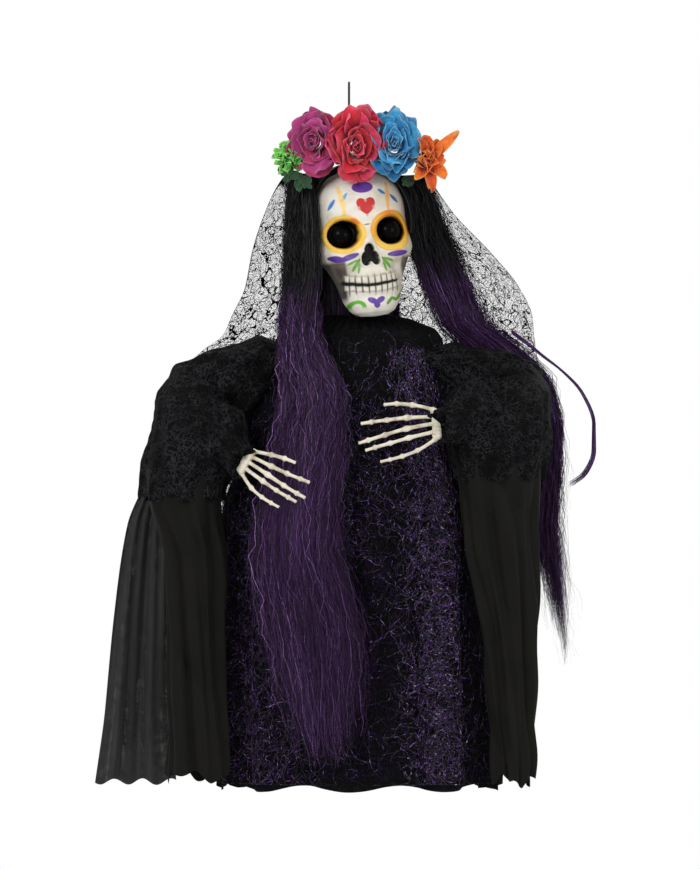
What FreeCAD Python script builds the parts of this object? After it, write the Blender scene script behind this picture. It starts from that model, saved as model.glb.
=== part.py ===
import FreeCAD, Part
import math
import os
from FreeCAD import Placement, Rotation, Vector

# Hanging catrina figure. Millimetres, +Z up, the figure looks along -Y and +X is on its left.
# The origin is where the hanging loop bears on its hook. Left and right are the figure's own.

# ---------------------------------------------------------------- driving sizes
CORD_RADIUS = 1.5
HOOK_RADIUS = 5.0            # hook or nail that the loop is hung on
KNOT_RADIUS = 6.0

SKULL_CENTRE = Vector(14.4, -2.0, -206.0)
SKULL_YAW = 9.0             # degrees, the face turned to its left
SKULL_ROLL = -6.0            # degrees, the crown leaning to its right
SKULL_WALL = 3.0
SKULL_SEAM_Y = 14.0          # where the face half meets the back half
EYE_RADIUS = 15.5
EYE_HALF_SPACING = 31.0

TORSO_X = 13.0               # the body's middle plane
SHOULDER_Z = -352.0
ARM_Y = 5.0
HEM_Z = -918.0
CLOTH = 3.0                  # wall of a cloth solid
GAP = 0.4                    # room between pieces that don't touch

NECK_RADIUS = 8.0
NECK_X = 14.0
NECK_Y = 20.0
SOCKET_RADIUS = 18.0
SOCKET_TOP_Z = -214.0
SOCKET_BOTTOM_Z = -250.0
NECK_PLAY = 0.3              # round the neck in its bush

WIRE_RADIUS = 1.45
EYELET_RADIUS = 7.0
EYELET_THICK = 3.0
RIVET_RADIUS = 2.0
RIVET_PLAY = 0.2
HEAD_RADIUS = 4.2
HEAD_THICK = 1.4
SLEEVE_HALF_DEPTH = 38.0     # upper sleeve, front to back
SLEEVE_HALF_HEIGHT = 52.0    # upper sleeve, top to its hanging edge
SLEEVE_SAG = 12.0            # how far its middle hangs under the arm
SLEEVE_START = 40.0          # from the shoulder to the sleeve's seam
SLEEVE_END = 46.0            # from the sleeve's cuff to the elbow

RIGHT_SHOULDER = Vector(-106.0, ARM_Y, SHOULDER_Z)
RIGHT_ELBOW = Vector(-215.0, 2.0, -408.0)
RIGHT_WRIST = Vector(-142.0, -112.0, -486.0)
RIGHT_FINGERS = Vector(78.0, -50.0, -44.0)     # the way the right hand points
LEFT_SHOULDER = Vector(130.0, ARM_Y, SHOULDER_Z)
LEFT_ELBOW = Vector(232.0, 2.0, -405.0)
LEFT_WRIST = Vector(125.0, -115.0, -443.0)
LEFT_FINGERS = Vector(-107.0, -6.0, -8.0)      # the way the left hand points

OVAL_POINTS = 16


# ---------------------------------------------------------------- shape helpers
def along(direction):
    """The unit vector along a direction."""
    unit = Vector(direction)
    unit.normalize()
    return unit


def rod(start, end, radius):
    """A round rod between two points."""
    way = end - start
    return Part.makeCylinder(radius, way.Length, start, way)


def taper(start, end, radius_start, radius_end):
    """A round rod that tapers between two points."""
    way = end - start
    return Part.makeCone(radius_start, radius_end, way.Length, start, way)


def disc(centre, axis, low, high, radius):
    """A round plate across an axis, between two distances from its centre."""
    axis = along(axis)
    return Part.makeCylinder(radius, high - low, centre + axis * low, axis)


def egg(centre, radius, half_height):
    """A ball stretched along Z: half an ellipse turned about the Z axis."""
    low = Vector(0, 0, -half_height)
    high = Vector(0, 0, half_height)
    if half_height > radius:
        ellipse = Part.Ellipse(high, Vector(-radius, 0, 0), Vector(0, 0, 0))
        half = Part.ArcOfEllipse(ellipse, math.pi, 2.0 * math.pi)
    else:
        ellipse = Part.Ellipse(Vector(radius, 0, 0), high, Vector(0, 0, 0))
        half = Part.ArcOfEllipse(ellipse, -math.pi / 2.0, math.pi / 2.0)
    profile = Part.Wire(Part.sortEdges([half.toShape(), Part.LineSegment(low, high).toShape()])[0])
    body = Part.Face(profile).revolve(Vector(0, 0, 0), Vector(0, 0, 1), 360)
    body.translate(centre)
    return body


def fused(shapes):
    """Several overlapping solids as one."""
    return shapes[0].multiFuse(shapes[1:]).removeSplitter()


def largest(shape):
    """The biggest of a shape's solids."""
    return max(shape.Solids, key=lambda solid: solid.Volume)


def oval_curve(z, cx, cy, a, b, first=0.0, last=360.0):
    """Points round an oval at a height, counted from +X towards +Y."""
    closed = last - first >= 360.0
    count = OVAL_POINTS if closed else OVAL_POINTS + 1
    points = []
    for i in range(count):
        turn = math.radians(first + (last - first) * i / OVAL_POINTS)
        points.append(Vector(cx + a * math.cos(turn), cy + b * math.sin(turn), z))
    return points


def oval_wire(z, cx, cy, a, b):
    """A closed smooth oval."""
    curve = Part.BSplineCurve()
    curve.interpolate(Points=oval_curve(z, cx, cy, a, b), PeriodicFlag=True)
    return Part.Wire([curve.toShape()])


def crescent_wire(z, cx, cy, a, b, wall, first, last):
    """The section of a curved sheet: part of an oval ring."""
    outside = Part.BSplineCurve()
    outer = oval_curve(z, cx, cy, a, b, first, last)
    outside.interpolate(Points=outer)
    inside = Part.BSplineCurve()
    inner = oval_curve(z, cx, cy, a - wall, b - wall, first, last)
    inner.reverse()
    inside.interpolate(Points=inner)
    end = Part.LineSegment(outer[-1], inner[0])
    start = Part.LineSegment(inner[-1], outer[0])
    return Part.Wire([outside.toShape(), end.toShape(), inside.toShape(), start.toShape()])


def oval_loft(sections, straight=True):
    """A solid through ovals given as (z, centre x, centre y, half width, half depth)."""
    return Part.makeLoft([oval_wire(*section) for section in sections], True, straight)


def oval_shell(sections, wall):
    """An oval loft with a hollow right through it."""
    inner = [(z, cx, cy, a - wall, b - wall) for z, cx, cy, a, b in sections]
    return oval_loft(sections).cut(oval_loft(inner))


def sheet_loft(sections, wall, first, last):
    """A curved sheet through parts of ovals."""
    wires = [crescent_wire(*section, wall, first, last) for section in sections]
    return Part.makeLoft(wires, True, True)


def bent_tube(route, radius, arc_radii):
    """A round tube along straight runs joined by tangent arcs, one arc at each inner point."""
    edges = []
    here = route[0]
    for i in range(1, len(route) - 1):
        before = along(route[i] - route[i - 1])
        after = along(route[i + 1] - route[i])
        turn = before.getAngle(after)
        reach = arc_radii[i - 1] * math.tan(turn / 2.0)
        arc_start = route[i] - before * reach
        arc_end = route[i] + after * reach
        middle_way = along(after - before)
        middle = route[i] + middle_way * (reach / math.sin(turn / 2.0) - arc_radii[i - 1])
        if (arc_start - here).Length > 1e-6:
            edges.append(Part.LineSegment(here, arc_start).toShape())
        edges.append(Part.Arc(arc_start, middle, arc_end).toShape())
        here = arc_end
    edges.append(Part.LineSegment(here, route[-1]).toShape())
    path = Part.Wire(edges)
    ring = Part.Wire([Part.Circle(route[0], route[1] - route[0], radius).toShape()])
    tube = path.makePipeShell([ring], True, False)
    expected = math.pi * radius ** 2 * path.Length
    print("tube length %.1f mm, volume over section times length %.4f, arc radii %s"
          % (path.Length, tube.Volume / expected, ["%.1f" % r for r in arc_radii]))
    return tube


def fitted_radii(route, share=0.45):
    """The largest arc that each inner point's two runs allow."""
    radii = []
    for i in range(1, len(route) - 1):
        before = route[i] - route[i - 1]
        after = route[i + 1] - route[i]
        shorter = min(before.Length, after.Length)
        radii.append(share * shorter / math.tan(before.getAngle(after) / 2.0))
    return radii


# ---------------------------------------------------------------- hanging cord
STRAND_Y = 2.2               # half the gap between the strands where they enter the crown
LOOP_Y = HOOK_RADIUS + CORD_RADIUS
CORD_END_Z = -121.0
BEND_SHARE = 0.99            # the part of the loop's half width that each bend takes
WASHER_TOP_Z = -117.6
WASHER_THICK = 2.0
WASHER_RADIUS = 9.0
WASHER_HOLE_RADIUS = 4.2
KNOT_Z = WASHER_TOP_Z - WASHER_THICK - GAP - KNOT_RADIUS


def hang_cord():
    """A loop of cord over its hook, both ends going down into the crown."""
    top = CORD_RADIUS
    route = [
        Vector(0, -STRAND_Y, CORD_END_Z),
        Vector(0, -LOOP_Y, top),
        Vector(0, LOOP_Y, top),
        Vector(0, STRAND_Y, CORD_END_Z),
    ]
    turn = (route[1] - route[0]).getAngle(route[2] - route[1])
    radius = BEND_SHARE * LOOP_Y / math.tan(turn / 2.0)
    return bent_tube(route, CORD_RADIUS, [radius, radius])


def cord_knot():
    """The knot that both ends of the cord are tied in, under the washer."""
    knot = Part.makeSphere(KNOT_RADIUS, Vector(0, 0, KNOT_Z))
    return knot.cut(rod(Vector(0, 0, CORD_END_Z), Vector(0, 0, 0), STRAND_Y + CORD_RADIUS + GAP))


def cord_washer():
    """The washer inside the crown that carries the figure's weight."""
    top = Vector(0, 0, WASHER_TOP_Z)
    down = Vector(0, 0, -1)
    ring = disc(top, down, 0, WASHER_THICK, WASHER_RADIUS)
    return ring.cut(disc(top, down, -WASHER_THICK, 2.0 * WASHER_THICK, WASHER_HOLE_RADIUS))


# ---------------------------------------------------------------- skull
# height from the skull's centre, half width, front and back of the section
SKULL_HALF_HEIGHT = 97.5
LEAST_HALF_WIDTH = 4.0       # the narrowest that a shrunken section may be
SOCKET_FLARE = 8.0           # how much wider than the eye its socket is at the mouth
EYE_FIT = 0.6
EYE_FLAT_Y = 2.0             # the eye's flat back, behind its middle
NOSE_MOUTH_RADIUS = 9.0
NOSE_FLOOR_RADIUS = 5.0
CORD_HOLE_RADIUS = 4.6
NECK_HOLE_PLAY = 0.05
FAR = 200.0                  # well outside the head
SKULL_SECTIONS = [
    (-97.5, 18, -68, -36),
    (-92, 28, -74, -24),
    (-74, 38, -77, -8),
    (-55, 43, -78, 2),
    (-32, 53, -75, 15),
    (-10, 65, -68, 44),
    (15, 63, -67, 62),
    (40, 64, -68, 72),
    (64, 58, -60, 66),
    (84, 42, -42, 50),
    (97.5, 12, -10, 18),
]


def skull_placement():
    """How the skull stands: rolled, then turned, then lifted to its place."""
    turned = Rotation(Vector(0, 0, 1), SKULL_YAW)
    rolled = Rotation(Vector(0, 1, 0), SKULL_ROLL)
    return Placement(SKULL_CENTRE, rolled.multiply(turned))


def in_skull(x, y, z):
    """A point given from the skull's centre, in the figure's frame."""
    return skull_placement().multVec(Vector(x, y, z))


def skull_form(grow):
    """The skull's outline, grown by a distance or shrunk by a negative one."""
    sections = []
    for z, half, front, back in SKULL_SECTIONS:
        middle = (front + back) / 2.0
        depth = (back - front) / 2.0
        rise = z * (1.0 + grow / SKULL_HALF_HEIGHT)
        wide = max(half + grow, LEAST_HALF_WIDTH)
        deep = max(depth + grow, LEAST_HALF_WIDTH)
        sections.append((rise, 0.0, middle, wide, deep))
    form = oval_loft(sections, False)
    form.Placement = skull_placement()
    return form


def skull_side(front):
    """A large block on the front or the back of the skull's seam."""
    near = -FAR if front else SKULL_SEAM_Y
    far = SKULL_SEAM_Y if front else FAR
    block = Part.makeBox(2.0 * FAR, far - near, 2.0 * FAR, Vector(-FAR, near, -FAR))
    block.Placement = skull_placement()
    return block


def eye_centre(side):
    """The middle of an eye: side is -1 for the right eye and 1 for the left."""
    return in_skull(side * EYE_HALF_SPACING, -43, 10)


def skull_shell():
    """The hollow skull with its sockets, nose, cord hole and neck hole."""
    shell = skull_form(0).cut(skull_form(-SKULL_WALL))
    for side in (-1, 1):
        mouth = in_skull(side * EYE_HALF_SPACING, -95, 10)
        floor = in_skull(side * EYE_HALF_SPACING, -36, 10)
        shell = shell.cut(taper(mouth, floor, EYE_RADIUS + SOCKET_FLARE, EYE_RADIUS + EYE_FIT))
    nose_top = in_skull(0, -90, -4)
    nose_foot = in_skull(0, -40, -24)
    shell = shell.cut(taper(nose_top, nose_foot, NOSE_MOUTH_RADIUS, NOSE_FLOOR_RADIUS))
    shell = shell.cut(rod(Vector(0, 0, -140), Vector(0, 0, -90), CORD_HOLE_RADIUS))
    low = Vector(NECK_X, NECK_Y, SOCKET_BOTTOM_Z - 12)
    high = Vector(NECK_X, NECK_Y, SOCKET_TOP_Z + 3)
    return shell.cut(rod(low, high, SOCKET_RADIUS + NECK_HOLE_PLAY))


def eye(side):
    """A glossy black eye set in its socket."""
    ball = Part.makeSphere(EYE_RADIUS, eye_centre(side))
    side_length = 4.0 * EYE_RADIUS
    corner = Vector(-side_length / 2.0, EYE_FLAT_Y, -side_length / 2.0)
    back_room = Part.makeBox(side_length, side_length, side_length, corner)
    back_room.Placement = Placement(eye_centre(side), skull_placement().Rotation)
    return ball.cut(back_room)


def neck_socket():
    """The bush in the skull's base that the neck turns in."""
    low = Vector(NECK_X, NECK_Y, SOCKET_BOTTOM_Z)
    high = Vector(NECK_X, NECK_Y, SOCKET_TOP_Z)
    bush = rod(low, high, SOCKET_RADIUS)
    return bush.cut(rod(low - Vector(0, 0, 1), high + Vector(0, 0, 1), NECK_RADIUS + NECK_PLAY))


# ---------------------------------------------------------------- hair and headdress
CAP_OUTSIDE = 5.0            # from the skull to the outside of the cap
CAP_FRONT_Y = -16.0
CAP_FOOT_Z = 2.0
CAP_HOLE_RADIUS = 13.0       # round the cord
BAND_HALF_WIDTH = 69.0
BAND_HALF_HEIGHT = 80.0
BAND_WALL = 4.0
BAND_ROOM = 0.6
BAND_FRONT = -34.0
BAND_BACK = -20.0
BAND_CENTRE_Z = 25.0
BAND_FOOT_Z = 5.0


def hair_cap():
    """The woven cap that the hair is sewn to, over the back of the skull."""
    cap = skull_form(CAP_OUTSIDE).cut(skull_form(2.0 * GAP)).cut(skull_form(GAP / 4.0))
    keep = Part.makeBox(2.0 * FAR, FAR, FAR, Vector(-FAR, CAP_FRONT_Y, CAP_FOOT_Z))
    keep.Placement = skull_placement()
    cap = cap.common(keep)
    return cap.cut(rod(Vector(0, 0, -150), Vector(0, 0, -60), CAP_HOLE_RADIUS))


def band_oval(grow, beyond):
    """A solid oval on the band's line, grown all round and made longer at both edges."""
    wide = BAND_HALF_WIDTH + grow
    high = BAND_HALF_HEIGHT + grow
    bar = oval_loft([(BAND_FRONT - beyond, 0, 0, wide, high), (BAND_BACK + beyond, 0, 0, wide, high)])
    bar.Placement = Placement(Vector(0, 0, BAND_CENTRE_Z), Rotation(Vector(1, 0, 0), -90))
    return bar


def headband():
    """The band over the crown that carries the flowers and the veil."""
    ring = band_oval(0.0, 0.0).cut(band_oval(-BAND_WALL, 1.0))
    ring = ring.common(Part.makeBox(FAR, FAR, FAR, Vector(-FAR / 2.0, -FAR / 2.0, BAND_FOOT_Z)))
    ring.Placement = skull_placement()
    return ring.cut(skull_form(GAP))


# centre x, y, z, radius and half height of each flower
RED_ROSE = (12, -50, -80, 25, 54)
BLUE_ROSE = (62, -46, -76, 24, 54)
MAGENTA_ROSE = (-37, -48, -75, 23, 44)
ORANGE_FLOWER = (106, -30, -97, 19, 41)
GREEN_FLOWER = (-78, -32, -99, 15, 21)


def flower(size):
    """A flower, making room for the skull and the band."""
    x, y, z, radius, half_height = size
    shape = egg(Vector(x, y, z), radius, half_height)
    shape = shape.cut(skull_form(2.0 * GAP)).cut(headband_room())
    return largest(shape)


def headband_room():
    """The space that the band takes, with a little room round it."""
    room = band_oval(BAND_ROOM, 1.0)
    room.Placement = skull_placement().multiply(room.Placement)
    return room


# centre x, y and z of each leaf, and its tilt in degrees
LEAVES = ((-62, -46, -128, 20), (-76, -50, -124, -35))
LEAF_HALF_LENGTH = 15.0
LEAF_HALF_WIDTH = 7.0
LEAF_THICK = 2.0


def rose_leaves():
    """Two leaves under the green flower."""
    leaves = []
    for x, y, z, tilt in LEAVES:
        tip = Vector(LEAF_HALF_LENGTH, 0, 0)
        middle = Vector(0, 0, LEAF_HALF_WIDTH)
        upper = Part.Arc(tip * -1, middle, tip).toShape()
        lower = Part.Arc(tip, middle * -1, tip * -1).toShape()
        leaf = Part.Face(Part.Wire([upper, lower])).extrude(Vector(0, LEAF_THICK, 0))
        leaf.Placement = Placement(Vector(x, y, z), Rotation(Vector(0, 1, 0), tilt))
        leaves.append(leaf)
    return Part.makeCompound(leaves)


# each lock: height, centre x, centre y, half width, half depth
RIGHT_LOCK = [
    (-124, -60, -24, 11, 12),
    (-181, -62, -30, 17, 12),
    (-240, -62, -44, 19, 12),
    (-320, -64, -72, 23, 12),
    (-411, -48, -104, 42, 10),
    (-593, -66, -116, 60, 10),
    (-723, -45, -117, 76, 9),
    (-810, -36, -117, 62, 7),
    (-886, -28, -116, 18, 4),
]
LEFT_LOCK = [
    (-138, 92, 8, 13, 9),
    (-181, 103, 14, 19, 9),
    (-222, 116, 20, 24, 9),
    (-264, 130, 28, 26, 9),
    (-310, 150, 36, 29, 8),
    (-345, 190, 54, 34, 7),
    (-390, 240, 58, 26, 7),
    (-450, 262, 58, 16, 7),
    (-560, 258, 58, 17, 7),
    (-660, 270, 58, 17, 6),
    (-760, 284, 58, 6, 4),
]
BACK_HAIR = [
    (-170, 8, 88, 40, 4.5),
    (-260, 10, 92, 52, 5),
    (-345, 12, 96, 60, 5),
    (-450, 12, 100, 60, 5),
    (-560, 12, 101, 54, 4.5),
    (-640, 12, 101, 34, 3),
]


def right_lock():
    """The long lock that lies down the figure's front."""
    shape = oval_loft(RIGHT_LOCK).cut(skull_form(CAP_OUTSIDE + GAP)).cut(headband_room())
    return largest(shape)


def left_lock():
    """The lock that goes over the left shoulder and down behind the arm."""
    return oval_loft(LEFT_LOCK)


def back_hair():
    """The hair that hangs down the back under the veil."""
    return oval_loft(BACK_HAIR)


# x and z of the wisp's corners
CURL = [(252, -352), (280, -374), (305, -402), (320, -442), (320, -478), (309, -506), (290, -521)]
CURL_Y = 44.0
CURL_RADIUS = 3.0


def hair_curl():
    """A wisp that stands out from the left lock in one long loop."""
    route = [Vector(x, CURL_Y, z) for x, z in CURL]
    return bent_tube(route, CURL_RADIUS, fitted_radii(route))


# height, left and right edge, centre y and depth behind it
VEIL = [
    (-122, -86, 104, 12, 92),
    (-170, -110, 138, 12, 93),
    (-218, -125, 184, 14, 94),
    (-264, -134, 222, 18, 92),
    (-302, -152, 240, 34, 78),
    (-326, -164, 243, 62, 54),
    (-345, -190, 246, 74, 46),
    (-400, -244, 254, 76, 46),
    (-500, -266, 262, 76, 48),
    (-600, -286, 256, 76, 48),
    (-720, -290, 234, 76, 50),
    (-870, -304, 226, 76, 52),
]


VEIL_THICK = 2.0


def veil():
    """The lace veil, from the band down over the shoulders and the back."""
    sections = []
    for z, right, left, cy, depth in VEIL:
        sections.append((z, (right + left) / 2.0, cy, (left - right) / 2.0, depth))
    return sheet_loft(sections, VEIL_THICK, 0.0, 180.0)


# ---------------------------------------------------------------- body and robe
# height, half width, half depth; all about the body's middle plane
ROBE = [
    (-312, 78, 44),
    (-320, 100, 52),
    (-334, 110, 56),
    (-360, 113, 60),
    (-400, 113, 68),
    (-440, 120, 74),
    (-500, 148, 79),
    (-560, 178, 82),
    (-740, 183, 88),
    (HEM_Z, 188, 93),
]
ROBE_Y = 8.0
NET_STAND_OFF = 3.5          # from the robe's panel to the outside of the net
NET_TOP_Z = -400.0
NET_HEM_Z = -905.0
NET_HEM_HALF_WIDTH = 191.1
NET_HEM_HALF_DEPTH = 96.1
NET_THICK = 1.5
NET_FIRST = 196.0            # degrees round the oval, from +X towards +Y
NET_LAST = 344.0
SEAM = 0.05                  # degrees from the side seam to each panel's edge
COLLAR_THICK = 5.0
ARMHOLE_RADIUS = 26.0
ARMHOLE_Z = SHOULDER_Z - 8.0


def robe_sections(grow=0.0):
    """The robe's sections, grown by a distance."""
    return [(z, TORSO_X, ROBE_Y, a + grow, b + grow) for z, a, b in ROBE]


def armholes():
    """The space that the arms need where they leave the robe."""
    right = rod(Vector(-60, ARM_Y, ARMHOLE_Z), Vector(-190, ARM_Y, ARMHOLE_Z), ARMHOLE_RADIUS)
    left = rod(Vector(86, ARM_Y, ARMHOLE_Z), Vector(210, ARM_Y, ARMHOLE_Z), ARMHOLE_RADIUS)
    return [right, left]


def robe_half(first, last):
    """The front or the back panel of the robe, which meet at the side seams."""
    panel = sheet_loft(robe_sections(), CLOTH, first, last)
    for hole in armholes():
        panel = panel.cut(hole)
    return panel


def neck_collar():
    """The gathered neckline under the chin."""
    sections = [
        (-306, TORSO_X, ROBE_Y, 46, 31),
        (-316, TORSO_X, ROBE_Y, 52, 35),
        (-332, TORSO_X, ROBE_Y, 60, 39),
    ]
    return oval_shell(sections, COLLAR_THICK)


def glitter_net():
    """The loose glittered net over the front panel."""
    sections = [row for row in robe_sections(NET_STAND_OFF) if HEM_Z < row[0] <= NET_TOP_Z]
    sections.append((NET_HEM_Z, TORSO_X, ROBE_Y, NET_HEM_HALF_WIDTH, NET_HEM_HALF_DEPTH))
    return sheet_loft(sections, NET_THICK, NET_FIRST, NET_LAST)


def chest_form():
    """The stuffed body that fills the robe's chest."""
    return oval_loft([
        (-366, TORSO_X, ROBE_Y, 62, 34),
        (-380, TORSO_X, ROBE_Y, 86, 48),
        (-440, TORSO_X, ROBE_Y, 92, 58),
        (-520, TORSO_X, ROBE_Y, 84, 56),
        (-560, TORSO_X, ROBE_Y, 60, 40),
    ])


FLANGE_RADIUS = 14.0
FLANGE_THICK = 3.0
YOKE_RADIUS = 5.0
YOKE_REACH = 11.0            # from a shoulder rivet to the thick part of the yoke
PAD_RADIUS = 13.0
PAD_TOP_Z = SHOULDER_Z + 2.5
PAD_FOOT_Z = SHOULDER_Z - 8.0
RIVET_HOLE_REACH = 20.0      # to each side of a joint, past everything its hole goes through


def neck_post():
    """The post from the shoulder yoke up into the skull, with the flange that holds the skull on."""
    foot = Vector(NECK_X, NECK_Y, PAD_TOP_Z)
    top = Vector(NECK_X, NECK_Y, SOCKET_TOP_Z + GAP + FLANGE_THICK)
    flange = rod(Vector(NECK_X, NECK_Y, SOCKET_TOP_Z + GAP), top, FLANGE_RADIUS)
    return fused([rod(foot, top, NECK_RADIUS), flange])


def rivet_hole(centre, axis):
    """The hole that a rivet goes through."""
    return disc(centre, axis, -RIVET_HOLE_REACH, RIVET_HOLE_REACH, RIVET_RADIUS + RIVET_PLAY)


def shoulder_yoke():
    """The bar across the shoulders, with an eyelet plate at each end and a pad under the neck."""
    inner_right = RIGHT_SHOULDER + Vector(YOKE_REACH, 0, 0)
    inner_left = LEFT_SHOULDER - Vector(YOKE_REACH, 0, 0)
    pieces = [rod(inner_right, inner_left, YOKE_RADIUS)]
    for centre, inner in ((RIGHT_SHOULDER, inner_right), (LEFT_SHOULDER, inner_left)):
        behind = Vector(0, RIVET_PLAY + EYELET_THICK / 2.0, 0)
        plate = disc(centre, Vector(0, 1, 0), RIVET_PLAY, RIVET_PLAY + EYELET_THICK, EYELET_RADIUS)
        pieces.append(plate)
        pieces.append(rod(centre + behind, inner + behind, WIRE_RADIUS))
    pad_foot = Vector(NECK_X, NECK_Y, PAD_FOOT_Z)
    pieces.append(rod(pad_foot, Vector(NECK_X, NECK_Y, PAD_TOP_Z), PAD_RADIUS))
    yoke = fused(pieces)
    for centre in (RIGHT_SHOULDER, LEFT_SHOULDER):
        yoke = yoke.cut(rivet_hole(centre, Vector(0, 1, 0)))
    return yoke


# ---------------------------------------------------------------- arms
def bend_axis(before, after):
    """The line that a joint bends about, square to what it joins."""
    return along(before.cross(after))


def rivet(centre, axis):
    """A rivet through two eyelet plates."""
    reach = RIVET_PLAY + EYELET_THICK + RIVET_PLAY
    shank = disc(centre, axis, -reach - HEAD_THICK, reach + HEAD_THICK, RIVET_RADIUS)
    low = disc(centre, axis, -reach - HEAD_THICK, -reach, HEAD_RADIUS)
    high = disc(centre, axis, reach, reach + HEAD_THICK, HEAD_RADIUS)
    return fused([shank, low, high])


def arm_wire(start, start_axis, end, end_axis):
    """A stiff wire with an eyelet plate at each end: above its joint at the start, below at the end."""
    middle = RIVET_PLAY + EYELET_THICK / 2.0
    start_axis = along(start_axis)
    end_axis = along(end_axis)
    wire = rod(start + start_axis * middle, end - end_axis * middle, WIRE_RADIUS)
    top = disc(start, start_axis, RIVET_PLAY, RIVET_PLAY + EYELET_THICK, EYELET_RADIUS)
    foot = disc(end, end_axis, -RIVET_PLAY - EYELET_THICK, -RIVET_PLAY, EYELET_RADIUS)
    shape = fused([wire, top, foot])
    for centre, axis in ((start, start_axis), (end, end_axis)):
        shape = shape.cut(rivet_hole(centre, axis))
    return shape


def sleeve_form(shoulder, elbow, start, end, grow):
    """An oval bar round the upper arm, hanging a little under it."""
    way = along(elbow - shoulder)
    down = Vector(way.z, 0, -way.x) * (1.0 if way.x > 0 else -1.0)
    down = along(down - way * down.dot(way))
    oval = Part.Ellipse(Vector(0, 0, 0), SLEEVE_HALF_HEIGHT + grow, SLEEVE_HALF_DEPTH + grow)
    length = (elbow - shoulder).Length - start - end
    bar = Part.Face(Part.Wire([oval.toShape()])).extrude(Vector(0, 0, length))
    foot = shoulder + way * start + down * SLEEVE_SAG
    bar.Placement = Placement(foot, Rotation(down, way.cross(down), way, "XYZ"))
    return bar


def upper_sleeve(shoulder, elbow):
    """The sleeve round the upper arm."""
    outside = sleeve_form(shoulder, elbow, SLEEVE_START, SLEEVE_END, 0.0)
    past = 2.0 * CLOTH
    return outside.cut(sleeve_form(shoulder, elbow, SLEEVE_START - past, SLEEVE_END - past, -CLOTH))


ARM_ROOM = 8.0
ELBOW_ROOM = 14.0
WRIST_ROOM = 30.0


def soft_sleeve(sections, shoulder, elbow, wrist):
    """The hanging lower sleeve, with room for the arm, its joints and the upper sleeve."""
    shape = oval_loft(sections)
    shape = shape.cut(sleeve_form(shoulder, elbow, 0.0, SLEEVE_END - 1.0, GAP))
    shape = shape.cut(rod(shoulder, elbow, ARM_ROOM))
    shape = shape.cut(rod(elbow, wrist, ARM_ROOM))
    shape = shape.cut(Part.makeSphere(ELBOW_ROOM, elbow))
    shape = shape.cut(Part.makeSphere(WRIST_ROOM, wrist))
    return largest(shape)


RIGHT_SLEEVE = [
    (-372, -196, 0, 30, 28),
    (-400, -204, -16, 43, 44),
    (-425, -200, -34, 51, 53),
    (-450, -198, -50, 56, 58),
    (-485, -202, -62, 62, 60),
    (-528, -216, -60, 52, 52),
]
RIGHT_DRAPE = [
    (-529, -214, -70, 48, 40),
    (-620, -203, -74, 43, 30),
    (-760, -200, -72, 42, 28),
    (-905, -198, -70, 42, 28),
]
LEFT_SLEEVE = [
    (-370, 212, 0, 30, 28),
    (-395, 216, -18, 43, 42),
    (-415, 208, -34, 52, 52),
    (-434, 202, -48, 58, 56),
    (-462, 194, -60, 66, 58),
    (-501, 193, -62, 57, 50),
]
LEFT_DRAPE = [
    (-502, 193, -72, 53, 38),
    (-593, 195, -76, 47, 30),
    (-667, 202, -74, 39, 28),
    (-754, 209, -72, 32, 28),
    (-866, 213, -70, 26, 28),
    (-910, 214, -70, 24, 26),
]
GAUZE = [
    (-520, -250, 12, 16, 4),
    (-575, -262, 12, 27, 5),
    (-690, -270, 12, 36, 6),
    (-815, -276, 12, 42, 6),
    (-908, -278, 12, 53, 6),
]


# ---------------------------------------------------------------- hands
# each digit: points along the hand and across it towards the thumb, and the knuckle radius
DIGITS = [
    ([(4, 20), (30, 28), (50, 31), (67, 31)], 3.1),
    ([(4, 11), (38, 12), (64, 11), (84, 10), (98, 9)], 3.3),
    ([(4, 2), (40, -2), (68, -8), (90, -13), (103, -16)], 3.3),
    ([(4, -8), (38, -14), (62, -19), (82, -23), (95, -26)], 3.1),
    ([(4, -18), (28, -31), (48, -37), (64, -40), (77, -42)], 2.8),
]


PLATE_OFFSET = 12.0          # from the wrist's rivet to the foot of the digits
PLATE_RADIUS = 5.0
PLATE_DISTANCE = 3.0
PLATE_SIDES = (-20.0, 22.0)
PALM_ARCH = 3.0
ARCH_SPAN = 110.0            # the length of hand that the arch runs over
KNUCKLE_TAPER = 0.09         # how much smaller each next knuckle is
BONE_SHARE = 0.7             # a bone's thickness as a part of its knuckle's
STUB_REACH = 3.0             # how far the wrist's wire goes into the hand


def digit_point(distance, side):
    """A knuckle's place in the hand's own frame: fingers along +X, thumb towards +Z, back to -Y."""
    arch = PALM_ARCH * math.sin(math.pi * distance / ARCH_SPAN)
    return Vector(PLATE_OFFSET + distance, -arch, side)


def bare_hand():
    """The wrist plate and five jointed digits, moulded in one piece."""
    plate_ends = [digit_point(PLATE_DISTANCE, side) for side in PLATE_SIDES]
    shape = rod(plate_ends[0], plate_ends[1], PLATE_RADIUS)
    for places, radius in DIGITS:
        for i, (distance, side) in enumerate(places):
            knuckle = radius * (1.0 - KNUCKLE_TAPER * i)
            here = digit_point(distance, side)
            if i > 0:
                shape = shape.fuse(rod(digit_point(*places[i - 1]), here, knuckle * BONE_SHARE))
                shape = shape.fuse(Part.makeSphere(knuckle, here))
    return shape


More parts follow.
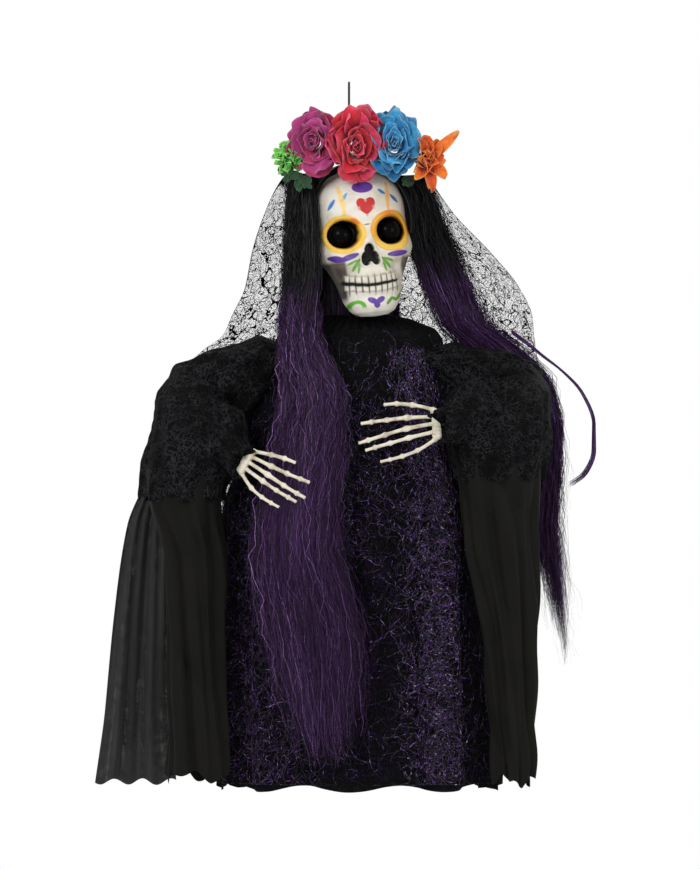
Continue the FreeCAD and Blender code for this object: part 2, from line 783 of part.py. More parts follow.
def hand(wrist, fingers, towards_front, hinge):
    """One bony hand, standing at its wrist, with the eyelet that its rivet goes through."""
    reach = along(fingers)
    back = along(towards_front - reach * towards_front.dot(reach))
    shape = bare_hand()
    x_way = reach
    if fingers.x < 0:
        shape = shape.mirror(Vector(0, 0, 0), Vector(1, 0, 0))
        x_way = reach * -1.0
    y_way = back * -1.0
    turn = Rotation(x_way, y_way, x_way.cross(y_way), "XYZ")
    shape.Placement = Placement(wrist, turn)
    middle = RIVET_PLAY + EYELET_THICK / 2.0
    stub_end = wrist + reach * (PLATE_OFFSET + STUB_REACH)
    stub = rod(wrist + hinge * middle, stub_end + hinge * middle, WIRE_RADIUS)
    eyelet = disc(wrist, hinge, RIVET_PLAY, RIVET_PLAY + EYELET_THICK, EYELET_RADIUS)
    shape = shape.fuse(stub).fuse(eyelet)
    return shape.cut(rivet_hole(wrist, hinge))


# ---------------------------------------------------------------- everything in its place
def build():
    """Every node's name and shape."""
    shell = skull_shell()
    right_elbow = bend_axis(RIGHT_ELBOW - RIGHT_SHOULDER, RIGHT_WRIST - RIGHT_ELBOW)
    left_elbow = bend_axis(LEFT_ELBOW - LEFT_SHOULDER, LEFT_WRIST - LEFT_ELBOW)
    right_wrist = bend_axis(RIGHT_WRIST - RIGHT_ELBOW, RIGHT_FINGERS)
    left_wrist = bend_axis(LEFT_WRIST - LEFT_ELBOW, LEFT_FINGERS)
    across = Vector(0, -1, 0)
    for joint, axis in (("right elbow", right_elbow), ("left elbow", left_elbow),
                        ("right wrist", right_wrist), ("left wrist", left_wrist)):
        print("%s axis %.6f %.6f %.6f" % (joint, axis.x, axis.y, axis.z))
    nodes = {
        "hang_cord": hang_cord(),
        "cord_knot": cord_knot(),
        "cord_washer": cord_washer(),
        "skull_face": largest(shell.common(skull_side(True))),
        "skull_back": largest(shell.common(skull_side(False))),
        "right_eye": eye(-1),
        "left_eye": eye(1),
        "neck_socket": neck_socket(),
        "hair_cap": hair_cap(),
        "right_hair_lock": right_lock(),
        "left_hair_lock": left_lock(),
        "back_hair": back_hair(),
        "hair_curl": hair_curl(),
        "headband": headband(),
        "veil": veil(),
        "red_rose": flower(RED_ROSE),
        "blue_rose": flower(BLUE_ROSE),
        "magenta_rose": flower(MAGENTA_ROSE),
        "orange_flower": flower(ORANGE_FLOWER),
        "green_flower": flower(GREEN_FLOWER),
        "rose_leaves": rose_leaves(),
        "neck_post": neck_post(),
        "shoulder_yoke": shoulder_yoke(),
        "shoulder_rivets": Part.makeCompound([rivet(RIGHT_SHOULDER, across), rivet(LEFT_SHOULDER, across)]),
        "chest_form": chest_form(),
        "neck_collar": neck_collar(),
        "robe_front": robe_half(180.0 + SEAM, 360.0 - SEAM),
        "robe_back": robe_half(SEAM, 180.0 - SEAM),
        "glitter_net": glitter_net(),
        "right_upper_arm": arm_wire(RIGHT_SHOULDER, across, RIGHT_ELBOW, right_elbow),
        "left_upper_arm": arm_wire(LEFT_SHOULDER, across, LEFT_ELBOW, left_elbow),
        "right_elbow_rivet": rivet(RIGHT_ELBOW, right_elbow),
        "left_elbow_rivet": rivet(LEFT_ELBOW, left_elbow),
        "right_forearm": arm_wire(RIGHT_ELBOW, right_elbow, RIGHT_WRIST, right_wrist),
        "left_forearm": arm_wire(LEFT_ELBOW, left_elbow, LEFT_WRIST, left_wrist),
        "right_wrist_rivet": rivet(RIGHT_WRIST, right_wrist),
        "left_wrist_rivet": rivet(LEFT_WRIST, left_wrist),
        "right_upper_sleeve": upper_sleeve(RIGHT_SHOULDER, RIGHT_ELBOW),
        "left_upper_sleeve": upper_sleeve(LEFT_SHOULDER, LEFT_ELBOW),
        "right_lower_sleeve": soft_sleeve(RIGHT_SLEEVE, RIGHT_SHOULDER, RIGHT_ELBOW, RIGHT_WRIST),
        "left_lower_sleeve": soft_sleeve(LEFT_SLEEVE, LEFT_SHOULDER, LEFT_ELBOW, LEFT_WRIST),
        "right_sleeve_drape": oval_loft(RIGHT_DRAPE),
        "left_sleeve_drape": oval_loft(LEFT_DRAPE),
        "gauze_panel": oval_loft(GAUZE),
        "right_hand": hand(RIGHT_WRIST, RIGHT_FINGERS, Vector(-0.2, -1, 0.1), right_wrist),
        "left_hand": hand(LEFT_WRIST, LEFT_FINGERS, Vector(0.1, -1, 0.1), left_wrist),
    }
    return nodes


os.makedirs("parts", exist_ok=True)
for name, shape in build().items():
    if not shape.isValid():
        print("NOT VALID", name)
    shape.exportStep("parts/%s.step" % name)
    print("%-20s solids %d volume %.0f mm3" % (name, len(shape.Solids), shape.Volume))
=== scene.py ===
import math

import bpy
import numpy as np
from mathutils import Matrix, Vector


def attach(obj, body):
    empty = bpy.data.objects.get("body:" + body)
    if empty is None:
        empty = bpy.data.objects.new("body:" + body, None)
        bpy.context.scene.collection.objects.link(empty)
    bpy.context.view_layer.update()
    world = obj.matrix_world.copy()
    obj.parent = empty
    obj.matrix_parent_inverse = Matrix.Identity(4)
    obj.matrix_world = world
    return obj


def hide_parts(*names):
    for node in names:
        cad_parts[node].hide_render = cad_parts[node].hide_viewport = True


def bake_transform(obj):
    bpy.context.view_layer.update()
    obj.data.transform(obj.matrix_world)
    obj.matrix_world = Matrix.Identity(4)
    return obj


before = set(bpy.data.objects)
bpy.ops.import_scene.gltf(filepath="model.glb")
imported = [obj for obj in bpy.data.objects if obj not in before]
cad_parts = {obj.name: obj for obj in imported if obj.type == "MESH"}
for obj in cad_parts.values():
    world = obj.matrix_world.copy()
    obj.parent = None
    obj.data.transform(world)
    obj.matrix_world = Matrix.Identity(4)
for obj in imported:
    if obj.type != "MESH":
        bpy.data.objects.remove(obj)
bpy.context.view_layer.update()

MM = 0.001

# ---------------------------------------------------------------- camera
CAMERA_X = 0.0013
CAMERA_Z = -0.456
CAMERA_DISTANCE = 9.0
VIEW_HEIGHT = 1.130
SENSOR = 36.0

camera_data = bpy.data.cameras.new("camera")
camera_data.sensor_width = SENSOR
camera_data.lens = SENSOR * CAMERA_DISTANCE / VIEW_HEIGHT
camera_data.clip_end = 90.0
camera = bpy.data.objects.new("camera", camera_data)
bpy.context.scene.collection.objects.link(camera)
camera.location = (CAMERA_X, -CAMERA_DISTANCE, CAMERA_Z)
camera.rotation_euler = (math.radians(90.0), 0.0, 0.0)
bpy.context.scene.camera = camera

# ---------------------------------------------------------------- helpers: numbers
def decoded(r, g, b):
    """A linear colour from 0..255 display values."""
    linear = []
    for value in (r, g, b):
        share = value / 255.0
        linear.append(share / 12.92 if share <= 0.04045 else ((share + 0.055) / 1.055) ** 2.4)
    return np.array(linear)


def smooth(low, high, value):
    """0 below low, 1 above high, and a smooth step between."""
    t = np.clip((value - low) / (high - low), 0.0, 1.0)
    return t * t * (3.0 - 2.0 * t)


def bell(distance, width):
    return np.exp(-(distance / width) ** 2)


def through(places, values, at):
    """A smooth curve through values at rising places, with no overshoot."""
    x = np.asarray(places, float)
    y = np.asarray(values, float)
    step = np.diff(x)
    slope = np.diff(y) / step
    tangent = np.zeros_like(y)
    tangent[0] = slope[0]
    tangent[-1] = slope[-1]
    for i in range(1, len(x) - 1):
        if slope[i - 1] * slope[i] > 0.0:
            tangent[i] = 2.0 * slope[i - 1] * slope[i] / (slope[i - 1] + slope[i])
    at = np.clip(np.asarray(at, float), x[0], x[-1])
    k = np.clip(np.searchsorted(x, at) - 1, 0, len(step) - 1)
    t = (at - x[k]) / step[k]
    return (y[k] * (1 + 2 * t) * (1 - t) ** 2 + step[k] * tangent[k] * t * (1 - t) ** 2
            + y[k + 1] * t * t * (3 - 2 * t) + step[k] * tangent[k + 1] * t * t * (t - 1))


def section_at(sections, z):
    """The section rows of a loft, at heights z, one column for each value."""
    table = np.array(sorted(sections), float)
    return [through(table[:, 0], table[:, i], z) for i in range(1, table.shape[1])]


def wander(points, scale, seed, count=4):
    """Smooth waves in space, about -1..1, the same on every run."""
    rng = np.random.default_rng(seed)
    total = np.zeros(points.shape[:-1])
    for i in range(count):
        way = rng.normal(size=3)
        way /= np.linalg.norm(way)
        total += np.sin(points @ way / scale * (1.0 + 0.6 * i) + rng.uniform(0, 6.28)) / (1.0 + 0.5 * i)
    return total / 2.0


def all_round(columns):
    """Angles once round, for the columns of a closed grid."""
    return np.linspace(0.0, 2 * math.pi, columns, endpoint=False)[None, :]


# ---------------------------------------------------------------- helpers: meshes
def link(name, mesh, material, body=None, stands_for=()):
    thing = bpy.data.objects.new(name, mesh)
    bpy.context.scene.collection.objects.link(thing)
    if material is not None:
        mesh.materials.append(material)
    if body:
        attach(thing, body)
    if stands_for:
        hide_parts(*stands_for)
    return thing


def build_mesh(name, points, quads, colours=None, uv=None):
    """A mesh of four-cornered faces from points in millimetres."""
    mesh = bpy.data.meshes.new(name)
    points = np.asarray(points, float).reshape(-1, 3) * MM
    quads = np.asarray(quads, np.int32).reshape(-1, 4)
    mesh.vertices.add(len(points))
    mesh.vertices.foreach_set("co", points.astype(np.float32).ravel())
    mesh.loops.add(quads.size)
    mesh.loops.foreach_set("vertex_index", quads.ravel())
    mesh.polygons.add(len(quads))
    mesh.polygons.foreach_set("loop_start", np.arange(0, quads.size, 4, dtype=np.int32))
    mesh.polygons.foreach_set("loop_total", np.full(len(quads), 4, np.int32))
    mesh.polygons.foreach_set("use_smooth", np.full(len(quads), True))
    mesh.update(calc_edges=True)
    if colours is not None:
        layer = mesh.color_attributes.new("paint", "FLOAT_COLOR", "POINT")
        rgba = np.ones((len(points), 4), np.float32)
        rgba[:, :3] = np.asarray(colours, float).reshape(-1, 3)
        layer.data.foreach_set("color", rgba.ravel())
    if uv is not None:
        layer = mesh.uv_layers.new(name="UVMap")
        layer.data.foreach_set("uv", np.asarray(uv, np.float32).reshape(-1, 2)[quads.ravel()].ravel())
    mesh.validate()
    return mesh


def grid_quads(rows, columns, closed=False, first=0):
    """The faces of a grid of points, row after row."""
    across = columns if closed else columns - 1
    r, c = np.meshgrid(np.arange(rows - 1), np.arange(across), indexing="ij")
    n = (c + 1) % columns
    quads = np.stack([r * columns + c, r * columns + n, (r + 1) * columns + n, (r + 1) * columns + c],
                     axis=-1)
    return quads.reshape(-1, 4) + first


def grid_uv(points):
    """Distances along and down a grid of points, in metres."""
    across = np.linalg.norm(np.diff(points, axis=1), axis=2).mean(axis=0)
    down = np.linalg.norm(np.diff(points, axis=0), axis=2).mean(axis=1)
    u = np.concatenate([[0.0], np.cumsum(across)]) * MM
    v = np.concatenate([[0.0], np.cumsum(down)]) * MM
    return np.stack(np.broadcast_arrays(u[None, :], v[:, None]), axis=-1)


def grid_mesh(name, points, closed=False, colours=None):
    rows, columns = points.shape[:2]
    return build_mesh(name, points, grid_quads(rows, columns, closed), colours, grid_uv(points))


def ribbons(name, lines, widths, colours, facing=None, seed=1):
    """Flat narrow strips along many lines. lines is (count, steps, 3), widths (count, steps)."""
    count, steps = lines.shape[:2]
    rng = np.random.default_rng(seed)
    along = np.gradient(lines, axis=1)
    along /= np.linalg.norm(along, axis=2, keepdims=True) + 1e-9
    if facing is None:
        facing = rng.normal(size=(count, 1, 3)) + np.array([0.0, -1.2, 0.0])
    side = np.cross(along, np.broadcast_to(facing, lines.shape))
    side /= np.linalg.norm(side, axis=2, keepdims=True) + 1e-9
    half = side * widths[..., None] / 2.0
    points = np.stack([lines - half, lines + half], axis=2)
    base = np.arange(count)[:, None] * (steps * 2)
    i = np.arange(steps - 1)[None, :] * 2
    a = base + i
    quads = np.stack([a, a + 1, a + 3, a + 2], axis=-1)
    paint = np.repeat(colours[:, :, None, :], 2, axis=2)
    return build_mesh(name, points, quads, paint)


def loft(sections, rows, columns, first=0.0, last=360.0):
    """Grid of points through oval sections (z, centre x, centre y, half width, half depth)."""
    top = max(s[0] for s in sections)
    foot = min(s[0] for s in sections)
    z = np.linspace(top, foot, rows)
    cx, cy, a, b = section_at(sections, z)
    closed = last - first >= 360.0
    turn = np.radians(np.linspace(first, last, columns, endpoint=not closed))
    points = np.zeros((rows, columns, 3))
    points[..., 0] = cx[:, None] + a[:, None] * np.cos(turn)
    points[..., 1] = cy[:, None] + b[:, None] * np.sin(turn)
    points[..., 2] = z[:, None]
    return points, turn


# ---------------------------------------------------------------- helpers: materials
class Finish:
    """A material being put together from nodes."""

    def __init__(self, name, **settings):
        self.material = bpy.data.materials.new(name)
        self.material.use_nodes = True
        self.tree = self.material.node_tree
        self.tree.nodes.clear()
        self.output = self.tree.nodes.new("ShaderNodeOutputMaterial")
        self.shader = self.tree.nodes.new("ShaderNodeBsdfPrincipled")
        self.tree.links.new(self.shader.outputs["BSDF"], self.output.inputs["Surface"])
        for socket, value in settings.items():
            self.shader.inputs[socket.replace("_", " ")].default_value = value

    def node(self, kind, inputs=None, **settings):
        made = self.tree.nodes.new("ShaderNode" + kind)
        for key, value in settings.items():
            setattr(made, key, value)
        for key, value in (inputs or {}).items():
            self.put(value, made.inputs[key])
        return made

    def put(self, value, socket):
        if isinstance(value, bpy.types.NodeSocket):
            self.tree.links.new(value, socket)
        elif hasattr(value, "__len__") and len(value) == 3 and socket.type == "RGBA":
            socket.default_value = (*value, 1.0)
        else:
            socket.default_value = value

    def place(self):
        return self.node("TexCoord").outputs["Object"]

    def stretched(self, scale, uv=False):
        source = self.node("TexCoord").outputs["UV" if uv else "Object"]
        return self.node("Mapping", {"Vector": source, "Scale": scale}).outputs["Vector"]

    def noise(self, scale, detail=3.0, roughness=0.55, vector=None):
        return self.node("TexNoise", {"Vector": vector or self.place(), "Scale": scale, "Detail": detail,
                                      "Roughness": roughness}).outputs["Fac"]

    def cells(self, scale, vector, feature="DISTANCE_TO_EDGE"):
        return self.node("TexVoronoi", {"Vector": vector, "Scale": scale},
                         feature=feature).outputs["Distance"]

    def wave(self, scale, vector=None, distortion=0.0, direction="X"):
        made = self.node("TexWave",
                         {"Vector": vector or self.place(), "Scale": scale, "Distortion": distortion,
                                     "Detail": 1.0}, wave_type="BANDS", bands_direction=direction)
        return made.outputs["Fac"]

    def sum(self, operation, a, b=0.0, c=None):
        made = self.node("Math", operation=operation)
        self.put(a, made.inputs[0])
        self.put(b, made.inputs[1])
        if c is not None:
            self.put(c, made.inputs[2])
        return made.outputs[0]

    def band(self, value, low, high):
        """0 at low and 1 at high, smoothly."""
        made = self.node("MapRange", interpolation_type="SMOOTHSTEP")
        self.put(value, made.inputs["Value"])
        made.inputs["From Min"].default_value = low
        made.inputs["From Max"].default_value = high
        return made.outputs["Result"]

    def mix(self, share, a, b, blend_type="MIX"):
        made = self.node("Mix", data_type="RGBA", blend_type=blend_type)
        self.put(share, made.inputs["Factor"])
        self.put(a, made.inputs["A"])
        self.put(b, made.inputs["B"])
        return made.outputs["Result"]

    def on_cloth(self):
        """The cloth's own flat coordinates, in metres."""
        return self.node("TexCoord").outputs["UV"]

    def warped(self, vector, scale, amount, detail):
        """Coordinates pushed about by a noise."""
        push = self.node("TexNoise", {"Vector": vector, "Scale": scale, "Detail": detail}).outputs["Color"]
        moved = self.node("VectorMath", operation="MULTIPLY_ADD")
        self.put(push, moved.inputs[0])
        moved.inputs[1].default_value = (amount, amount, amount)
        self.put(vector, moved.inputs[2])
        return moved.outputs[0]

    def paint(self):
        return self.node("Attribute", attribute_name="paint").outputs["Color"]

    def paint_share(self):
        """How solid the cloth is at a point, from the red of its paint."""
        made = self.node("SeparateColor")
        self.put(self.paint(), made.inputs[0])
        limit = self.sum("ADD", self.sum("MULTIPLY", self.noise(900.0, 2.0), 0.8), 0.1)
        return self.sum("GREATER_THAN", made.outputs["Red"], limit)

    def bumped(self, height, strength, distance):
        made = self.node("Bump", {"Strength": strength, "Distance": distance, "Height": height})
        self.tree.links.new(made.outputs["Normal"], self.shader.inputs["Normal"])
        return self

    def coloured(self, colour):
        self.put(colour, self.shader.inputs["Base Color"])
        return self

    def rough(self, value):
        self.put(value, self.shader.inputs["Roughness"])
        return self

    def see_through(self, share):
        self.put(share, self.shader.inputs["Alpha"])
        return self


def skull_finish():
    f = Finish("skull_paint", Coat_Weight=0.12, Coat_Roughness=0.35)
    grime = f.noise(38.0, 5.0, 0.6)
    colour = f.mix(f.band(grime, 0.35, 0.8), f.paint(), decoded(172, 160, 130), "MULTIPLY")
    f.coloured(f.mix(0.45, f.paint(), colour))
    f.rough(f.band(f.noise(220.0, 3.0), -0.6, 1.6))
    return f.bumped(f.sum("ADD", f.noise(420.0, 4.0), f.sum("MULTIPLY", f.noise(90.0, 3.0), 2.0)), 0.18,
                    0.0006).material


def eye_finish():
    f = Finish("eye_gloss", Coat_Weight=0.04, Coat_Roughness=0.04, Specular_IOR_Level=0.03)
    f.coloured(f.mix(f.noise(160.0, 2.0), decoded(2, 2, 3), decoded(9, 8, 8)))
    f.rough(f.band(f.noise(60.0, 2.0), -0.9, 3.6))
    return f.material


def ivory_finish():
    f = Finish("hand_ivory", Coat_Weight=0.08, Coat_Roughness=0.4, Subsurface_Weight=0.12,
               Subsurface_Scale=0.002)
    stain = f.band(f.noise(70.0, 4.0, 0.6), 0.42, 0.75)
    f.coloured(f.mix(stain, decoded(228, 220, 202), decoded(176, 164, 140)))
    f.rough(f.band(f.noise(300.0, 2.0), -0.5, 1.4))
    return f.bumped(f.noise(260.0, 3.0), 0.22, 0.0008).material


def hair_finish(name, low, high):
    f = Finish(name, Specular_IOR_Level=0.16)
    streak = f.noise(900.0, 2.0, 0.6, f.stretched((1.0, 1.0, 0.04)))
    colour = f.mix(f.band(streak, 0.3, 0.75), low, high)
    f.coloured(f.mix(1.0, f.paint(), colour, "MULTIPLY"))
    f.rough(f.band(streak, -1.2, 2.6))
    return f.bumped(streak, 0.35, 0.0004).material


def cloth_finish(name, dark, light, sheen=0.25, weave=900.0, mottling=60.0):
    roughness = 0.85
    f = Finish(name, Sheen_Weight=sheen, Sheen_Roughness=0.45, Specular_IOR_Level=0.06)
    threads = f.sum("MULTIPLY", f.wave(weave, f.on_cloth(), 1.2, "X"),
                    f.wave(weave, f.on_cloth(), 1.2, "Y"))
    blotch = f.noise(mottling, 4.0, 0.6)
    f.coloured(f.mix(f.band(f.sum("ADD", f.sum("MULTIPLY", threads, 0.5), blotch), 0.35, 1.1), dark, light))
    f.rough(f.band(blotch, roughness - 2.2, roughness + 0.6))
    return f.bumped(f.sum("ADD", threads, f.sum("MULTIPLY", blotch, 2.0)), 0.4, 0.0007).material


def raised_finish(name, dark, light):
    """Black cloth with curling raised figures, coloured lighter on the figures as a painted highlight where
    they catch the light.
    """
    f = Finish(name, Roughness=0.75, Specular_IOR_Level=0.08)
    bent = f.warped(f.place(), 55.0, 0.03, 2.0)
    stems = f.band(f.cells(120.0, bent), 0.12, 0.02)
    rings = f.band(f.sum("ABSOLUTE", f.sum("SUBTRACT", f.cells(150.0, bent, "F1"), 0.34)), 0.10, 0.02)
    raised = f.sum("MAXIMUM", stems, rings)
    weave = f.noise(900.0, 3.0, 0.7)
    # painted highlight: the raised figures are coloured lighter, in patches
    painted_highlight = f.sum("MULTIPLY", raised, f.band(f.noise(30.0, 3.0), 0.3, 0.6))
    f.coloured(f.mix(f.sum("MULTIPLY", painted_highlight, f.band(weave, 0.3, 0.7)), dark, light))
    return f.bumped(f.sum("ADD", raised, f.sum("MULTIPLY", weave, 0.5)), 0.7, 0.0012).material


def satin_finish(name, dark, light):
    f = Finish(name, Specular_IOR_Level=0.12, Sheen_Weight=0.02, Anisotropic=0.4)
    threads = f.wave(1400.0, f.on_cloth(), 0.6, "Y")
    blotch = f.noise(18.0, 4.0, 0.5)
    f.coloured(f.mix(f.band(f.sum("ADD", f.sum("MULTIPLY", threads, 0.25), blotch), 0.3, 0.9), dark, light))
    f.rough(f.band(blotch, -0.9, 1.6))
    return f.bumped(f.sum("ADD", threads, f.sum("MULTIPLY", blotch, 3.0)), 0.25, 0.0006).material


def lace_finish(name, dark, light):
    """Openwork: a fine net, with swirling vines, curls and small leaves on it."""
    net = 480.0
    vine = 36.0
    f = Finish(name, Roughness=0.8, Specular_IOR_Level=0.08)
    flat = f.on_cloth()

    def bent_by(scale, amount):
        return f.warped(flat, scale, amount, 1.0)

    mesh_line = f.sum("LESS_THAN", f.cells(net, bent_by(90.0, 0.004)), 0.07)
    stems = f.sum("LESS_THAN", f.cells(vine, bent_by(24.0, 0.06)), 0.019)
    fine = f.sum("LESS_THAN", f.cells(vine * 2.3, bent_by(46.0, 0.03)), 0.022)
    ring = f.sum("FRACT", f.sum("MULTIPLY", f.cells(vine * 1.5, bent_by(34.0, 0.035), "F1"), 3.4))
    curls = f.sum("MULTIPLY", f.sum("LESS_THAN", ring, 0.16),
                  f.sum("GREATER_THAN", f.noise(40.0, 2.0, vector=flat), 0.47))
    leaf = f.sum("MULTIPLY", f.sum("LESS_THAN", f.cells(vine * 5.0, bent_by(60.0, 0.02), "F1"), 0.34),
                 f.sum("GREATER_THAN", f.noise(38.0, 2.0, vector=flat), 0.56))
    motif = f.sum("MAXIMUM", f.sum("MAXIMUM", stems, curls), f.sum("MAXIMUM", fine, leaf))
    cover = f.sum("MAXIMUM", f.sum("MAXIMUM", mesh_line, motif), f.paint_share())
    f.see_through(cover)
    f.coloured(f.mix(motif, dark, light))
    return f.bumped(motif, 0.5, 0.0008).material


def net_finish(name, dark, light):
    """A black web with glitter on its threads, worn away where its paint is dark."""
    f = Finish(name, Roughness=0.6, Specular_IOR_Level=0.05)
    bent = f.warped(f.on_cloth(), 40.0, 0.03, 2.0)
    web = f.sum("LESS_THAN", f.cells(120.0, bent), 0.03)
    coarse = f.sum("LESS_THAN", f.cells(48.0, bent), 0.03)
    glitter = f.sum("GREATER_THAN", f.noise(1500.0, 1.0), 0.68)
    f.see_through(f.sum("MULTIPLY", f.sum("MAXIMUM", web, coarse), f.paint_share()))
    f.coloured(f.mix(glitter, dark, light))
    return f.bumped(web, 0.4, 0.0005).material


def gauze_finish(name, dark, light):
    f = Finish(name, Roughness=0.8)
    flat = f.on_cloth()
    warp = f.noise(60.0, 2.0, vector=flat)
    streaks = f.noise(90.0, 4.0, 0.6, f.stretched((1.0, 0.05, 1.0), True))
    threads = f.sum("MAXIMUM", f.wave(300.0, flat, 2.5, "X"), f.wave(300.0, flat, 2.5, "Y"))
    cover = f.sum("ADD", f.sum("MULTIPLY", threads, 0.7), f.sum("ADD", streaks, f.sum("MULTIPLY", warp, 0.4)))
    f.see_through(f.band(cover, 0.3, 0.8))
    f.coloured(f.mix(f.band(streaks, 0.35, 0.75), dark, light))
    return f.bumped(threads, 0.4, 0.0005).material


def petal_finish(name):
    f = Finish(name, Sheen_Weight=0.3, Subsurface_Weight=0.15, Subsurface_Scale=0.003)
    veins = f.noise(240.0, 4.0, 0.65, f.stretched((1.0, 0.4, 1.0)))
    shade = f.mix(f.band(veins, 0.3, 0.8), (0.72, 0.68, 0.7), (1.12, 1.12, 1.12))
    f.coloured(f.mix(1.0, f.paint(), shade, "MULTIPLY"))
    f.rough(f.band(veins, -2.4, 2.0))
    return f.bumped(veins, 0.35, 0.0008).material


def thread_finish(name):
    roughness = 0.45
    f = Finish(name, Metallic=0.2)
    sparkle = f.noise(1400.0, 1.0)
    glint = f.mix(f.band(sparkle, 0.66, 0.78), f.paint(), decoded(205, 190, 225))
    f.coloured(f.mix(f.band(f.noise(160.0, 2.0), 0.5, 0.62), f.paint(), glint))
    f.rough(f.band(sparkle, roughness - 1.2, roughness + 0.9))
    return f.material


def metal_finish(name, base, roughness):
    f = Finish(name, Metallic=1.0)
    brushed = f.noise(900.0, 3.0, 0.6, f.stretched((1.0, 1.0, 0.15)))
    f.coloured(f.mix(brushed, base * 0.7, base * 1.15))
    f.rough(f.band(brushed, roughness - 1.3, roughness + 0.9))
    return f.bumped(brushed, 0.2, 0.0002).material


def plastic_finish(name, base):
    roughness = 0.5
    f = Finish(name)
    grain = f.noise(600.0, 3.0, 0.6)
    f.coloured(f.mix(f.noise(40.0, 2.0), base * 0.75, base * 1.3))
    f.rough(f.band(grain, roughness - 1.4, roughness + 1.0))
    return f.bumped(grain, 0.25, 0.0003).material


def cord_finish():
    f = Finish("cord", Roughness=0.7, Sheen_Weight=0.3)
    braid = f.sum("MAXIMUM", f.wave(420.0, None, 0.4, "DIAGONAL"),
                  f.wave(420.0, f.stretched((-1.0, 1.0, 1.0)), 0.4, "DIAGONAL"))
    f.coloured(f.mix(braid, decoded(10, 10, 11), decoded(34, 34, 36)))
    return f.bumped(braid, 0.8, 0.0006).material


BLACK = decoded(9, 9, 11)
CHARCOAL = decoded(30, 30, 33)
MATERIALS = {
    "skull_paint": skull_finish(),
    "eye_gloss": eye_finish(),
    "hand_ivory": ivory_finish(),
    "hair": hair_finish("hair", (0.45, 0.45, 0.45), (1.5, 1.5, 1.5)),
    "wig_cap": cloth_finish("wig_cap", BLACK, CHARCOAL, 0.1, 420.0, 90.0),
    "lace": lace_finish("lace", decoded(10, 10, 12), decoded(6, 6, 7)),
    "robe_cloth": raised_finish("robe_cloth", decoded(4, 4, 5), decoded(27, 26, 32)),
    "sleeve_cloth": raised_finish("sleeve_cloth", decoded(4, 4, 5), decoded(54, 54, 58)),
    "satin": satin_finish("satin", decoded(5, 5, 4), decoded(19, 18, 14)),
    "gauze": gauze_finish("gauze", decoded(8, 8, 8), decoded(46, 44, 43)),
    "petal": petal_finish("petal"),
    "leaf": petal_finish("leaf"),
    "threads": thread_finish("threads"),
    "net": net_finish("net", decoded(9, 7, 12), decoded(96, 50, 138)),
    "rivet": metal_finish("rivet", decoded(150, 150, 155), 0.35),
    "wire": metal_finish("wire", decoded(60, 60, 62), 0.45),
    "inner_plastic": plastic_finish("inner_plastic", decoded(30, 30, 32)),
    "stuffing": cloth_finish("stuffing", decoded(170, 168, 160), decoded(225, 222, 214), 0.3, 200.0, 80.0),
    "cord": cord_finish(),
}

# ---------------------------------------------------------------- stage and light
FLOOR_Z = -1.30
FLOOR_RADIUS = 1.15
world = bpy.data.worlds.new("studio")
bpy.context.scene.world = world
world.use_nodes = True
sky = world.node_tree
sky.nodes.clear()
lit = sky.nodes.new("ShaderNodeBackground")
lit.inputs["Color"].default_value = (1.0, 1.0, 1.0, 1.0)
lit.inputs["Strength"].default_value = 0.62
seen = sky.nodes.new("ShaderNodeBackground")
seen.inputs["Color"].default_value = (1.0, 1.0, 1.0, 1.0)
seen.inputs["Strength"].default_value = 1.0
ray = sky.nodes.new("ShaderNodeLightPath")
either = sky.nodes.new("ShaderNodeMixShader")
sky_out = sky.nodes.new("ShaderNodeOutputWorld")
sky.links.new(ray.outputs["Is Camera Ray"], either.inputs[0])
sky.links.new(lit.outputs[0], either.inputs[1])
sky.links.new(seen.outputs[0], either.inputs[2])
sky.links.new(either.outputs[0], sky_out.inputs["Surface"])
bpy.context.scene.view_settings.view_transform = "Standard"

floor_points, _ = loft([(FLOOR_Z / MM, 0, 0, 5, 5),
                        (FLOOR_Z / MM - 0.01, 0, 0, FLOOR_RADIUS / MM, FLOOR_RADIUS / MM)], 24, 96)
floor_finish = Finish("floor", Roughness=0.9)
floor_finish.coloured(floor_finish.mix(floor_finish.noise(6.0, 2.0), (0.83, 0.83, 0.83), (0.87, 0.87, 0.87)))
floor = link("floor", grid_mesh("floor", floor_points, True), floor_finish.material)


def softbox(name, place, aim, size, power):
    data = bpy.data.lights.new(name, "AREA")
    data.shape = "RECTANGLE"
    data.size = size[0]
    data.size_y = size[1]
    data.energy = power
    lamp = bpy.data.objects.new(name, data)
    bpy.context.scene.collection.objects.link(lamp)
    lamp.location = place
    lamp.rotation_euler = (Vector(aim) - Vector(place)).to_track_quat("-Z", "Y").to_euler()


MIDDLE = (0.0, 0.0, -0.42)
softbox("key", (-1.3, -2.2, 0.75), MIDDLE, (1.1, 1.1), 34.0)
softbox("fill", (1.9, -2.0, 0.1), MIDDLE, (1.4, 1.4), 16.0)
softbox("back", (0.6, 2.2, 0.9), MIDDLE, (1.2, 1.2), 22.0)

# ---------------------------------------------------------------- the hanging cord
CORD_DIAMETER = 0.003
CORD_ROUTE = [
    (0.0, -0.0022, -0.121),
    (0.0, -0.0040, -0.104),
    (0.0, -0.0065, 0.0015),
    (0.0, 0.0065, 0.0015),
    (0.0, 0.0022, -0.121),
]
cord_data = bpy.data.curves.new("hang_cord_look", "CURVE")
cord_data.dimensions = "3D"
cord_line = cord_data.splines.new("NURBS")
cord_line.points.add(len(CORD_ROUTE) - 1)
for point, place in zip(cord_line.points, CORD_ROUTE):
    point.co = (*place, 1.0)
cord_line.order_u = 3
cord_line.use_endpoint_u = True
cord_line.resolution_u = 24
cord_data.bevel_depth = CORD_DIAMETER / 2.0
cord_data.bevel_resolution = 4
cord_data.materials.append(MATERIALS["cord"])
cord = bpy.data.objects.new("hang_cord_look", cord_data)
bpy.context.scene.collection.objects.link(cord)
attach(cord, "hanger")
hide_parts("hang_cord")

